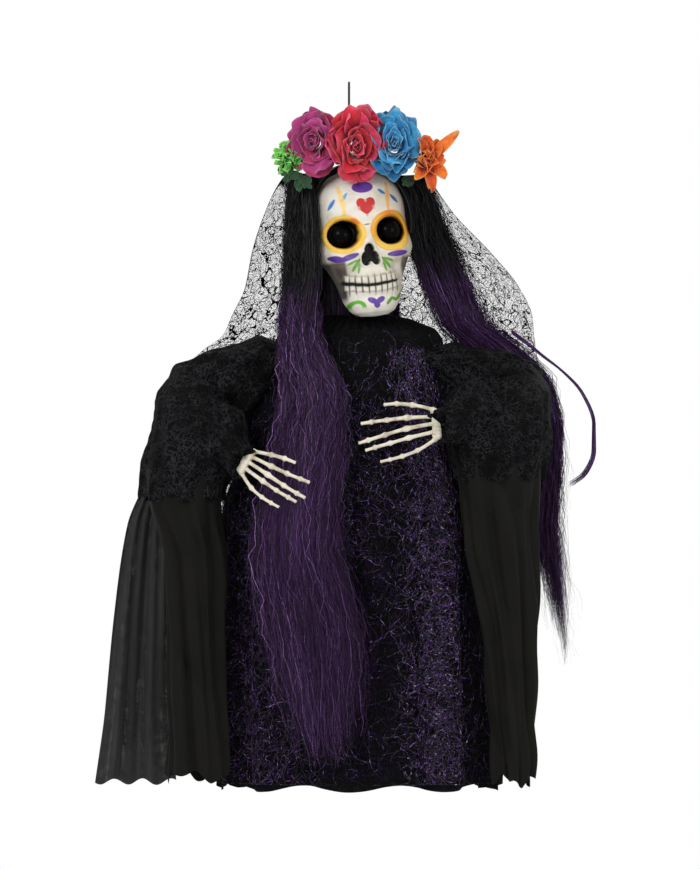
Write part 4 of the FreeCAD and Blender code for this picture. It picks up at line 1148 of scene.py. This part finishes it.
def hair_core(name, sections, shrink, switch, seed, foot):
    """The mass of hair under the loose strands, ridged like combed hair."""
    top = max(s[0] for s in sections)
    heights = np.linspace(top, foot, 60)
    cx, cy, a, b = section_at(sections, heights)
    slim = shrink * np.sqrt(1.0 - 0.96 * smooth(foot + 150.0, foot, heights))
    inner = list(zip(heights, cx, cy, a * slim, np.maximum(b * slim, 0.6)))
    points, turn = loft(inner, 240, 160)
    z = points[..., 2]
    rng = np.random.default_rng(seed)
    ridge = np.zeros_like(z)
    for k in range(9):
        ridge += np.sin(turn[None, :] * (17 + 11 * k) + rng.uniform(0,
                6.28) + 0.8 * np.sin(z / (30.0 + 6 * k) + rng.uniform(0, 6.28))) / (1 + 0.3 * k)
    cx, cy, a, b = section_at(inner, z[:, 0])
    outward = np.stack([np.cos(turn)[None, :] * b[:, None], np.sin(turn)[None, :] * a[:, None]], axis=-1)
    outward /= np.linalg.norm(outward, axis=-1, keepdims=True)
    points[..., :2] += outward * (0.45 * ridge)[..., None]
    # painted shade and highlight: the hair is coloured darker in the grooves and lighter on the ridges of its
    # relief
    tone = np.clip(0.10 + 0.11 * ridge, 0.0, 0.8)
    share = smooth(switch + 40.0, switch - 40.0, z + 18.0 * wander(points, 30.0, seed))[..., None]
    dark = HAIR_BLACK + HAIR_GREY * 0.4 * tone[..., None] ** 2
    light = HAIR_PURPLE * (0.35 + 1.3 * tone[..., None])
    return link(name, grid_mesh(name, points, True, dark * (1 - share) + light * share), MATERIALS["hair"],
                "head")


hair_core("right_lock_core", RIGHT_LOCK, 0.8, RIGHT_PURPLE_Z, 5, -720.0)
strands("right_hair_lock_look", RIGHT_LOCK, 2700, RIGHT_PURPLE_Z, (-890.0, -650.0), "right_hair_lock", 10,
        0.75, 1.02, 22, 3.5,
        True, 0.7, 44, 2.0)
strands("right_lock_outer", RIGHT_LOCK, 2600, RIGHT_PURPLE_Z, (-880.0, -600.0), "right_hair_lock", 13, 0.65,
        1.0, 34, 4.0, False,
        0.6, 44, 3.0)
strands("right_lock_fringe", RIGHT_LOCK, 1700, RIGHT_PURPLE_Z, (-880.0, -440.0), "right_hair_lock", 12, 0.5,
        1.08, 60, 5.0, False,
        0.35, 52, 5.0)
RIGHT_SIDE = [(-124, -52, -38, 8, 6), (-181, -50, -53, 9, 6), (-240, -48, -65, 9, 6), (-300, -54, -74, 12, 8),
              (-380, -58, -92, 16, 8)]
LEFT_SIDE = [(-124, 72, -12, 10, 7), (-150, 79, -10, 11, 8), (-200, 88, -8, 12, 8), (-260, 104, 4, 14, 8),
             (-330, 132, 22, 16, 8)]
strands("right_side_hair", RIGHT_SIDE, 700, RIGHT_PURPLE_Z, (-370.0, -250.0), "right_hair_lock", 15, 0.7, 1.0,
        20, 3.0, False)
strands("left_side_hair", LEFT_SIDE, 900, LEFT_PURPLE_Z, (-325.0, -200.0), "left_hair_lock", 16, 0.7, 1.0, 20,
        3.0, False)
hair_core("left_lock_core", LEFT_LOCK, 0.78, LEFT_PURPLE_Z, 6, -640.0)
strands("left_hair_lock_look", LEFT_LOCK, 2400, LEFT_PURPLE_Z, (-750.0, -560.0), "left_hair_lock", 20, 0.7,
        1.0, 26, 4.0,
        True, 0.5, 40, 1.4)
strands("left_lock_fringe", LEFT_LOCK, 520, LEFT_PURPLE_Z, (-755.0, -400.0), "left_hair_lock", 22, 0.5, 1.4,
        40, 9.0, False,
        0.3, 44, 3.0)
hair_core("back_hair_core", BACK_HAIR, 0.9, BACK_PURPLE_Z, 7, -600.0)
strands("back_hair_look", BACK_HAIR, 2600, BACK_PURPLE_Z, (-640.0, -520.0), "back_hair", 30, 0.9, 1.03)


def curl():
    """The wisp that loops out from the left lock."""
    rng = np.random.default_rng(31)
    route = np.array([(214, 50, -322), (235, 47, -338), (252, 44, -352), (280, 44, -374), (305, 44, -402),
                      (320, 44, -442),
                      (320, 44, -478), (309, 44, -506), (290, 44, -521)], float)
    place = np.linspace(0, len(route) - 1, 44)
    base = np.stack([through(np.arange(len(route)), route[:, i], place) for i in range(3)], axis=-1)
    count = 70
    lines = np.repeat(base[None], count, axis=0)
    t = np.linspace(0, 1, 44)[None, :]
    spread = 1.2 + 4.5 * np.abs(t - 0.35)
    phase = rng.uniform(0, 6.28, (3, count, 1))
    lines[..., 0] += spread * np.sin(phase[0] + 2.0 * t) * rng.uniform(0.3, 1.0, (count, 1))
    lines[..., 1] += 2.0 * np.sin(phase[1] + 4.0 * t)
    lines[..., 2] += spread * np.cos(phase[2] + 2.4 * t) * rng.uniform(0.3, 1.0, (count, 1))
    tone = rng.beta(1.5, 3.0, count)
    paint = hair_paint(lines[..., 2], LEFT_PURPLE_Z, tone, np.full(count, 0.95))
    widths = np.full((count, 44), 0.55) * (1 - 0.7 * smooth(0.8, 1.0, t))
    return link("hair_curl_look", ribbons("hair_curl_look", lines, widths, paint, None, 32),
                MATERIALS["hair"], "head",
                ("hair_curl",))


curl()


def nape():
    """Hair from the cap's edge down the back of the skull."""
    rng = np.random.default_rng(41)
    count, steps = 2600, 26
    turn = np.radians(rng.uniform(48.0, 184.0, count))[:, None]
    t = np.linspace(0.0, 1.0, steps)[None, :]
    foot = rng.uniform(-306.0, -262.0, count)[:, None]
    z = CAP_EDGE_Z + (foot - CAP_EDGE_Z) * t
    layer = rng.uniform(0.0, 7.0, count)[:, None]
    half = 74.0 + layer - 12.0 * smooth(-190.0, -280.0, z)
    depth = 58.0 + layer - 6.0 * smooth(-190.0, -260.0, z)
    x = 8.0 + half * np.cos(turn) + 1.5 * np.sin(z / 30.0 + turn * 9.0)
    y = 22.0 + depth * np.sin(turn) + 1.0 * np.sin(z / 17.0 + turn * 21.0)
    lines = np.stack([x, y, z], axis=-1)
    paint = hair_paint(z, BACK_PURPLE_Z, rng.beta(0.8, 2.6, count), rng.uniform(0.3, 1.0, count))
    widths = np.full((count, steps), 1.1) * (1.0 - 0.7 * smooth(0.7, 1.0, t))
    facing = np.stack([np.cos(turn), np.sin(turn), np.zeros_like(turn)], axis=-1)
    return link("nape_hair", ribbons("nape_hair", lines, widths, paint, facing, 42),
                MATERIALS["hair"], "head")


nape()

# ---------------------------------------------------------------- veil
VEIL_TOP_Z = -116.0
VEIL_FOOT_Z = -868.0
# height, right and left edge, centre y and depth behind it
VEIL = [
    (-116, -78, 100, 10, 88), (-122, -86, 104, 12, 92), (-170, -110, 138, 12, 93), (-218, -125, 184, 14, 94),
    (-264, -134, 222, 18, 92), (-302, -152, 240, 34, 78), (-326, -164, 243, 62, 54),
    (-345, -190, 246, 74, 46),
    (-400, -244, 254, 76, 46), (-500, -266, 262, 76, 48), (-600, -286, 256, 76, 48),
    (-720, -290, 234, 76, 50),
    (-870, -304, 226, 76, 52),
]


def veil():
    rows, columns = 300, 330
    z = np.linspace(VEIL_TOP_Z, VEIL_FOOT_Z, rows)
    right, left, cy, depth = section_at(VEIL, z)
    t = np.linspace(0.0, 1.0, columns)
    turn = np.pi * t
    middle = (right + left) / 2.0
    half = (left - right) / 2.0
    down = smooth(-130.0, -420.0, z)[:, None]
    fold = (np.sin(turn[None, :] * 19.0 + 0.006 * z[:, None] + 0.7) + 0.6 * np.sin(turn[None,
            :] * 31.0 - 0.004 * z[:, None])
            + 0.4 * np.sin(turn[None, :] * 7.0 + 0.01 * z[:, None]))
    fold = fold * (1.2 + 4.2 * down)
    points = np.zeros((rows, columns, 3))
    points[..., 0] = middle[:, None] + (half[:, None] + 0.5 * fold) * np.cos(turn)
    points[..., 1] = cy[:, None] + (depth[:, None] + fold - 2.0) * np.sin(turn) ** 0.75
    points[..., 2] = z[:, None]
    ragged = 14.0 * wander(np.outer(t, (40.0, 0.0, 0.0)), 2.2, 8) * smooth(0.7, 1.0,
            np.linspace(0, 1, rows))[:, None]
    points[..., 2] += ragged
    edge = np.minimum(t, 1.0 - t)[None, :]
    band = smooth(0.05, 0.03, edge) * 0.5 * smooth(-330.0, -250.0, z)[:, None]
    gathered = smooth(-150.0, -118.0, z)[:, None] * 0.8
    share = np.clip(band + gathered, 0, 1)
    paint = np.repeat(share[..., None], 3, axis=-1)
    piece = link("veil_look", grid_mesh("veil_look", points, False, paint), MATERIALS["lace"], "head",
                 ("veil",))
    return piece


veil()

# ---------------------------------------------------------------- robe
TORSO_X = 13.0
ROBE_Y = 8.0
ROBE = [(-302, 40, 26), (-306, 62, 38), (-308, 70, 41), (-312, 79, 45), (-320, 100, 52), (-334, 110, 56),
        (-360, 115, 60), (-400, 128, 68),
        (-440, 143, 74), (-500, 162, 79), (-560, 180, 82), (-740, 184, 88), (-918, 188, 93)]
ROBE_TOP_Z = ROBE[0][0]
HEM_Z = ROBE[-1][0]


def robe_point(turn, z, out):
    """A point of the robe, out from its panels."""
    half, depth = section_at(ROBE, z)
    return np.stack([TORSO_X + (half + out) * np.cos(turn), ROBE_Y + (depth + out) * np.sin(turn), z],
                    axis=-1)


def robe_folds(turn, z):
    """How far the cloth stands out in its hanging folds."""
    low = smooth(-380.0, -620.0, z)
    fold = (1.8 * np.sin(13.0 * turn + 0.5 * np.sin(z / 110.0)) + 1.3
            * np.sin(21.0 * turn + 1.1 + 0.4 * np.sin(z / 70.0))
            + 0.7 * np.sin(37.0 * turn + z / 160.0) + 0.9 * np.sin(7.0 * turn + 2.0))
    crease = 0.8 * wander(np.stack([60.0 * np.cos(turn), 60.0 * np.sin(turn), z * 0.4], axis=-1), 13.0, 17)
    return (fold * (0.35 + 1.7 * low) + crease) - 4.5 * low - 1.2


def robe():
    rows, columns = 330, 420
    z = np.linspace(ROBE_TOP_Z, HEM_Z, rows)[:, None]
    turn = all_round(columns)
    z, turn = np.broadcast_arrays(z, turn)
    points = robe_point(turn, z, robe_folds(turn, z))
    gather = smooth(-335.0, -306.0, z)
    points[..., :2] += (np.stack([np.cos(turn), np.sin(turn)],
                                 axis=-1) * (gather * 1.6 * np.sin(46.0 * turn))[..., None])
    points[..., 2] += gather * 1.5 * np.sin(46.0 * turn + 1.0)
    foot = smooth(-880.0, HEM_Z, z)
    points[..., 2] += foot * 5.0 * (1.0 + np.sin(9.0 * turn + 0.5)) * 0.9
    front = points[:, columns // 2:]
    front = np.concatenate([front, points[:, :1]], axis=1)
    back = points[:, : columns // 2 + 1]
    for name, part, node in (("robe_front_look", front, ("robe_front", "neck_collar")),
                             ("robe_back_look", back, ("robe_back",))):
        piece = link(name, grid_mesh(name, part), MATERIALS["robe_cloth"], "torso", node)


robe()


# ---------------------------------------------------------------- glittered net over the front
NET_PURPLE = decoded(120, 62, 170)
NET_SILVER = decoded(172, 160, 190)


def net():
    rows, columns = 220, 240
    z = np.linspace(-330.0, -903.0, rows)[:, None]
    turn = np.radians(np.linspace(190.0, 350.0, columns))[None, :]
    z, turn = np.broadcast_arrays(z, turn)
    points = robe_point(turn, z, robe_folds(turn, z) + 3.6 + 0.8 * wander(robe_point(turn, z, 0.0), 24.0, 44))
    worn = smooth(-345.0, -500.0, z + 34.0 * wander(points, 36.0, 45))
    paint = np.repeat(worn[..., None], 3, axis=-1)
    piece = link("glitter_net_look", grid_mesh("glitter_net_look", points, False, paint), MATERIALS["net"],
                 "torso", ("glitter_net",))
    return piece


def net_threads(name, count, place, length, seed, bright, width=0.45):
    """Glittered threads that hang and wander down the front.

    place(rng) gives a start turn, in degrees, and a height.
    """
    rng = np.random.default_rng(seed)
    steps = 18
    starts = np.array([place(rng) for _ in range(count)])
    heading = np.where(rng.uniform(size=count) < 0.75, rng.normal(-math.pi / 2, 0.3, count),
                       rng.uniform(0, 2 * math.pi, count))
    run = length * rng.uniform(0.3, 1.7, count) / steps
    turn = np.zeros((count, steps))
    z = np.zeros((count, steps))
    turn[:, 0] = np.radians(starts[:, 0])
    z[:, 0] = starts[:, 1]
    for i in range(1, steps):
        heading = heading + rng.normal(0, 0.35, count)
        turn[:, i] = turn[:, i - 1] + run * np.cos(heading) / 150.0
        z[:, i] = z[:, i - 1] + run * np.sin(heading)
    z = np.clip(z, -908.0, -318.0)
    turn = np.clip(turn, math.radians(186.0), math.radians(354.0))
    lines = robe_point(turn, z, robe_folds(turn, z) + 4.8)
    lines[..., 1] -= rng.uniform(0, 2.0, (count, 1))
    tone = rng.uniform(0, 1, (count, steps)) ** 3
    paint = NET_PURPLE * (1 - tone[..., None]) + NET_SILVER * tone[..., None] * bright
    paint = paint * (0.02 + rng.uniform(0.0, 1.0, (count, steps, 1)) ** 9 * 2.4) * rng.uniform(0.2, 1.0,
            (count, 1, 1))
    widths = np.full((count, steps), width) * rng.uniform(0.5, 1.4, (count, steps))
    return link(name, ribbons(name, lines, widths, np.clip(paint, 0, 1), None, seed + 1),
                MATERIALS["threads"], "torso")


def anywhere(rng):
    return rng.uniform(190.0, 350.0), -900.0 + 570.0 * rng.beta(1.0, 1.1)


def at_strip(rng):
    return rng.normal(303.0, 7.0), -900.0 + 560.0 * rng.beta(1.0, 1.0)


def at_sides(rng):
    if rng.uniform() < 0.8:
        return rng.normal(222.0, 16.0), -900.0 + 440.0 * rng.beta(1.0, 1.2)
    return rng.normal(262.0, 12.0), rng.uniform(-620.0, -400.0)


net()
net_threads("net_threads_all", 1100, anywhere, 34.0, 101, 0.8, 0.45)
net_threads("net_threads_strip", 2100, at_strip, 24.0, 102, 1.3, 0.6)
net_threads("net_threads_sides", 1900, at_sides, 28.0, 103, 0.9, 0.5)

# ---------------------------------------------------------------- sleeves
RIGHT_SHOULDER = np.array([-106.0, 5.0, -352.0])
RIGHT_ELBOW = np.array([-215.0, 2.0, -408.0])
RIGHT_WRIST = np.array([-142.0, -112.0, -486.0])
LEFT_SHOULDER = np.array([130.0, 5.0, -352.0])
LEFT_ELBOW = np.array([232.0, 2.0, -405.0])
LEFT_WRIST = np.array([125.0, -115.0, -443.0])
RIGHT_SLEEVE = [(-366, -196, 2, 26, 24), (-372, -196, 0, 31, 29), (-400, -204, -16, 44, 45),
                (-425, -200, -34, 52, 54),
                (-450, -198, -50, 57, 59), (-485, -202, -62, 63, 61), (-528, -216, -60, 54, 55),
                (-536, -216, -60, 54, 55)]
RIGHT_DRAPE = [(-500, -212, -66, 52, 50), (-529, -214, -70, 49, 41), (-620, -200, -74, 40, 31),
               (-760, -197, -72, 38, 29),
               (-905, -196, -70, 39, 29)]
LEFT_SLEEVE = [(-364, 212, 2, 26, 24), (-370, 212, 0, 31, 29), (-395, 216, -18, 44, 43),
               (-415, 208, -34, 53, 53),
               (-434, 202, -48, 59, 57), (-462, 194, -60, 67, 59), (-501, 193, -62, 58, 52),
               (-510, 193, -62, 57, 52)]
LEFT_DRAPE = [(-478, 193, -66, 57, 48), (-502, 193, -72, 54, 39), (-593, 195, -76, 48, 31),
              (-667, 202, -74, 40, 29),
              (-754, 209, -72, 33, 29), (-866, 213, -70, 27, 29), (-910, 214, -70, 25, 27)]
GAUZE = [(-520, -250, 12, 16, 4), (-575, -262, 12, 27, 5), (-690, -270, 12, 36, 6), (-815, -276, 12, 42, 6),
         (-908, -278, 12, 53, 6)]


def upper_sleeve(name, shoulder, elbow, node, shoulder_rise):
    """The cape-like sleeve from the robe's shoulder to the elbow, drooping under the arm."""
    rows, columns = 150, 200
    way = (elbow - shoulder) / np.linalg.norm(elbow - shoulder)
    down = np.array([way[2], 0.0, -way[0]]) * (1.0 if way[0] > 0 else -1.0)
    down = down - way * (down @ way)
    down /= np.linalg.norm(down)
    reach = np.linalg.norm(elbow - shoulder)
    s = np.linspace(-52.0, reach + 20.0, rows)[:, None]
    turn = all_round(columns)
    share = np.clip(s / reach, -0.4, 1.2)
    high = shoulder_rise + (40.0 - shoulder_rise) * smooth(0.05, 0.65, share) - 8.0 * smooth(0.9, 1.2, share)
    high = high * (0.45 + 0.55 * smooth(-0.4, 0.0, share))
    low = 40.0 + 40.0 * smooth(-0.2, 0.6, share) - 24.0 * smooth(0.8, 1.2, share)
    deep = 40.0 - 4.0 * smooth(0.8, 1.2, share)
    close = np.sqrt(np.clip(1.0 - (np.clip(s - reach + 12.0, 0.0, 32.0) / 32.2) ** 2, 0.0, 1.0))
    high, low, deep = high * close, low * close, deep * close
    up_share = np.cos(turn)
    side_share = np.sin(turn)
    fold = (1.8 * np.sin(9.0 * turn + s / 14.0) + 1.6 * np.sin(s / 8.5 + 2.0 * np.sin(turn * 2.0))
            + 1.2 * np.sin(15.0 * turn - s / 20.0)) * (0.5 + 0.7 * smooth(0.0, 0.8, share))
    vertical = np.where(up_share > 0, up_share * high, up_share * low)
    centre = shoulder + s[..., None] * way
    centre = centre - (np.minimum(s, 0.0) * way[2] * 1.1)[..., None] * np.array([0.0, 0.0, 1.0])
    outward = (vertical * (1.0 + 0.02 * fold))[..., None] * -down + ((deep + 1.2 * fold) * side_share)[...,
            None] * np.array([0.0, 1.0, 0.0])
    points = centre + outward
    points += 0.8 * wander(points, 7.0, 71)[..., None] * np.array([0.3, 1.0, 0.6])
    piece = link(name, grid_mesh(name, points, True), MATERIALS["sleeve_cloth"], None,
                 (node,))
    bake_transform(piece)
    return piece


def lower_sleeve(name, sections, node, seed):
    """The flared cuff of textured cloth round the forearm."""
    points, turn = loft(sections, 150, 240)
    z = points[..., 2]
    top, foot = z.max(), z.min()
    share = (top - z) / (top - foot)
    fold = (2.2 * np.sin(8.0 * turn[None, :] + seed) + 1.6 * np.sin(13.0 * turn[None,
            :] + z / 22.0) + 1.2 * np.sin(21.0 * turn[None, :] + seed * 2.0))
    centre = points.mean(axis=1, keepdims=True)
    outward = points - centre
    outward[..., 2] = 0
    outward /= np.linalg.norm(outward, axis=-1, keepdims=True) + 1e-9
    points = points + outward * (fold * share * 0.9 + 0.9 * wander(points, 6.0, int(seed * 10) + 3))[...,
            None]
    points[..., 2] -= (share ** 4) * (3.0 + 3.0 * np.sin(8.0 * turn + seed) + 2.0 * np.sin(23.0 * turn))
    piece = link(name, grid_mesh(name, points, True), MATERIALS["sleeve_cloth"], None,
                 (node,))
    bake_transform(piece)
    return piece


def cuff(name, elbow, wrist, body, seed):
    """The gathered end of the sleeve, from which the hand comes."""
    rows, columns = 90, 120
    way = (wrist - elbow) / np.linalg.norm(wrist - elbow)
    side = np.cross(way, (0.0, 0.0, 1.0))
    side /= np.linalg.norm(side)
    up = np.cross(side, way)
    s = np.linspace(0.0, 1.0, rows)[:, None]
    turn = all_round(columns)
    tucked = smooth(0.86, 1.0, s)
    radius = (44.0 - 23.0 * smooth(0.0, 0.7, s)) * (1.0 - 0.86 * tucked)
    fold = 1.0 + (0.05 * np.sin(9.0 * turn + seed) + 0.04 * np.sin(17.0 * turn + 5.0 * s)) * (0.4 + s)
    centre = wrist - way * 62.0 + (np.minimum(s, 0.86) * 90.0 - 10.0 * tucked)[..., None] * way
    droop = (smooth(0.2, -1.0, np.sin(turn)) * 10.0 * (1 - s))[..., None] * np.array([0.0, 0.0, -1.0])
    points = centre + (radius * fold * np.cos(turn))[..., None] * side + (radius * fold * np.sin(turn))[...,
            None] * up + droop
    points += (smooth(0.7, 0.86, s) * (2.0 * np.sin(7.0 * turn + seed) + 1.2 * np.sin(19.0 * turn)))[...,
            None] * way
    points += (0.7 * wander(points, 5.0, int(seed * 7) + 2))[..., None] * side
    return link(name, grid_mesh(name, points, True), MATERIALS["sleeve_cloth"], body)


def drape(name, sections, body, node, seed):
    """A long satin sleeve end that hangs from the cuff, modelled as a pleated tube."""
    points, turn = loft(sections, 260, 260)
    z = points[..., 2]
    top, foot = z.max(), z.min()
    share = (top - z) / (top - foot)
    fold = (3.8 * np.sin(5.0 * turn[None,
                                    :] + seed + 1.4 * np.sin(z / 120.0 + seed)) + 2.4
                                    * np.sin(9.0 * turn[None, :] + seed * 1.7 + z / 70.0)
            + 1.2 * np.sin(17.0 * turn[None, :] + z / 40.0))
    slanted = points @ np.array([[1.0, 0.0, 0.35], [0.0, 1.0, 0.0], [0.35, 0.0, 0.42]])
    crumple = (1.5 * np.abs(wander(slanted, 26.0, int(seed * 10) + 5)) - 0.5) * 3.0 + wander(slanted, 9.0,
            int(seed * 10) + 6)
    outward = np.stack([np.cos(turn), np.sin(turn), np.zeros_like(turn)], axis=-1)[None]
    points = points + outward * ((fold - 2.5) * smooth(0.0, 0.25, share) * 0.95 + 1.1 * crumple)[..., None]
    points[..., 2] += (share ** 6) * (6.0 * np.sin(3.0 * turn + seed) + 4.0 * np.sin(7.0 * turn) + 8.0)
    piece = link(name, grid_mesh(name, points, True), MATERIALS["satin"], body, (node,))
    return piece


def gauze():
    """The strip of open gauze beside the right sleeve."""
    rows, columns = 260, 130
    z = np.linspace(-505.0, -908.0, rows)
    cx, cy, a, b = section_at([(-505, -246, 12, 12, 4)] + GAUZE, z)
    u = np.linspace(-1.0, 1.0, columns)[None, :]
    share = np.linspace(0, 1, rows)[:, None]
    points = np.zeros((rows, columns, 3))
    points[..., 0] = cx[:, None] + a[:, None] * u
    points[..., 1] = cy[:, None] + 5.0 * np.sin(u * 6.0 + 1.0 + 0.8 * share) * (0.4 + share) + 2.0 * np.sin(u
            * 13.0)
    points[..., 2] = z[:, None] + 4.0 * np.sin(u * 9.0) * smooth(0.85, 1.0, share)
    piece = link("gauze_panel_look", grid_mesh("gauze_panel_look", points), MATERIALS["gauze"], "right_upper",
                 ("gauze_panel",))
    return piece


upper_sleeve("right_upper_sleeve_look", RIGHT_SHOULDER, RIGHT_ELBOW, "right_upper_sleeve",
             28.0)
upper_sleeve("left_upper_sleeve_look", LEFT_SHOULDER, LEFT_ELBOW, "left_upper_sleeve", 19.0)
lower_sleeve("right_lower_sleeve_look", RIGHT_SLEEVE,
             "right_lower_sleeve", 0.6)
lower_sleeve("left_lower_sleeve_look", LEFT_SLEEVE,
             "left_lower_sleeve", 1.9)
cuff("right_cuff_look", RIGHT_ELBOW, RIGHT_WRIST, "right_lower", 0.4)
cuff("left_cuff_look", LEFT_ELBOW, LEFT_WRIST, "left_lower", 1.1)
drape("right_sleeve_drape_look", RIGHT_DRAPE, "right_lower", "right_sleeve_drape", 0.9)
drape("left_sleeve_drape_look", LEFT_DRAPE, "left_lower", "left_sleeve_drape", 2.3)
gauze()

# ---------------------------------------------------------------- hands
# each digit: points along the hand and across it towards the thumb, and the knuckle radius
DIGITS = [
    ([(-4, 14), (4, 20), (30, 28), (50, 31), (67, 31)], 3.9),
    ([(-4, 8), (4, 11), (38, 12), (64, 11), (84, 10), (98, 9)], 4.0),
    ([(-4, 2), (4, 2), (40, -2), (68, -8), (90, -13), (103, -16)], 4.0),
    ([(-4, -5), (4, -8), (38, -14), (62, -19), (82, -23), (95, -26)], 3.8),
    ([(-4, -12), (4, -18), (28, -31), (48, -37), (64, -40), (77, -42)], 3.5),
]
PLATE_OFFSET = 12.0
PALM_ARCH = 3.0
ARCH_SPAN = 110.0


def bone_tube(route, radii, rows, columns, seed):
    """A tube along a smooth route, as a grid of points, closed to a point at both ends."""
    place = np.linspace(0.0, len(route) - 1.0, rows)
    line = np.stack([through(np.arange(len(route)), route[:, i], place) for i in range(3)], axis=-1)
    way = np.gradient(line, axis=0)
    way /= np.linalg.norm(way, axis=1, keepdims=True)
    side = np.cross(way, (0.0, 1.0, 0.0))
    side /= np.linalg.norm(side, axis=1, keepdims=True)
    up = np.cross(side, way)
    turn = all_round(columns)
    radius = radii(place)[:, None] * (1.0 + 0.05 * np.sin(2.0 * turn + place[:, None] * 3.0 + seed))
    radius = radius * np.sqrt(np.clip(1.0 - np.clip(1.0 - place / 0.12, 0, 1) ** 2, 0.0001, 1.0))[:, None]
    last = len(route) - 1.0
    radius = radius * np.sqrt(np.clip(1.0 - np.clip((place - last + 0.16) / 0.16, 0, 1) ** 2, 0.0001, 1.0))[:,
            None]
    return line[:, None, :] + (radius * np.cos(turn))[..., None] * side[:, None,
            :] + (radius * np.sin(turn))[..., None] * up[:, None, :]


def bony_hand(name, wrist, fingers, towards_front, body, node, seed, spread=1.0, curl=0.0):
    """A hand of moulded bones: carpals at the wrist, and five jointed digits with knobbed knuckles."""
    reach = np.asarray(fingers, float) / np.linalg.norm(fingers)
    back = np.asarray(towards_front, float)
    back = back - reach * (back @ reach)
    back /= np.linalg.norm(back)
    x_way = -reach if fingers[0] < 0 else reach
    thumb_way = np.cross(x_way, -back)

    def placed(distance, side):
        arch = PALM_ARCH * math.sin(math.pi * max(distance, 0.0) / ARCH_SPAN)
        across = side * spread + curl * (distance / ARCH_SPAN) ** 2
        return wrist + (PLATE_OFFSET + distance) * reach + arch * back + across * thumb_way

    grids = []
    for number, (places, knuckle) in enumerate(DIGITS):
        route = np.array([placed(d, side) for d, side in places])

        def radii(place, knuckle=knuckle, count=len(places)):
            value = np.full_like(place, knuckle * 0.66)
            for k in range(count):
                value = value + knuckle * 0.42 * bell(place - k, 0.13) * (0.7 if k == count - 1 else 1.0)
            return value * (1.0 - 0.045 * place)

        grids.append(bone_tube(route, radii, 130, 18, seed + number))
    rng = np.random.default_rng(seed)
    for k in range(8):
        side = -17.0 + 5.2 * k
        start = placed(-3.0, side * 0.75)
        end = placed(6.0, side)
        route = np.array([start, (start + end) / 2.0 + back * 1.0, end])
        size = rng.uniform(4.2, 5.4)
        grids.append(bone_tube(route, lambda place, size=size: np.full_like(place, size), 40, 16,
                               seed + 20 + k))
    points, quads, first = [], [], 0
    for grid in grids:
        rows, columns = grid.shape[:2]
        grid = grid + 0.16 * wander(grid, 1.8, seed)[..., None] * back
        points.append(grid.reshape(-1, 3))
        quads.append(grid_quads(rows, columns, True, first))
        first += rows * columns
    mesh = build_mesh(name, np.concatenate(points), np.concatenate(quads))
    return link(name, mesh, MATERIALS["hand_ivory"], body, (node,))


bony_hand("right_hand_look", RIGHT_WRIST, (78.0, -50.0, -44.0), (-0.2, -1.0, 0.1), "right_palm", "right_hand",
          301, 0.84, 13.0)
bony_hand("left_hand_look", LEFT_WRIST, (-107.0, -6.0, -8.0), (0.1, -1.0, 0.1), "left_palm", "left_hand", 302)
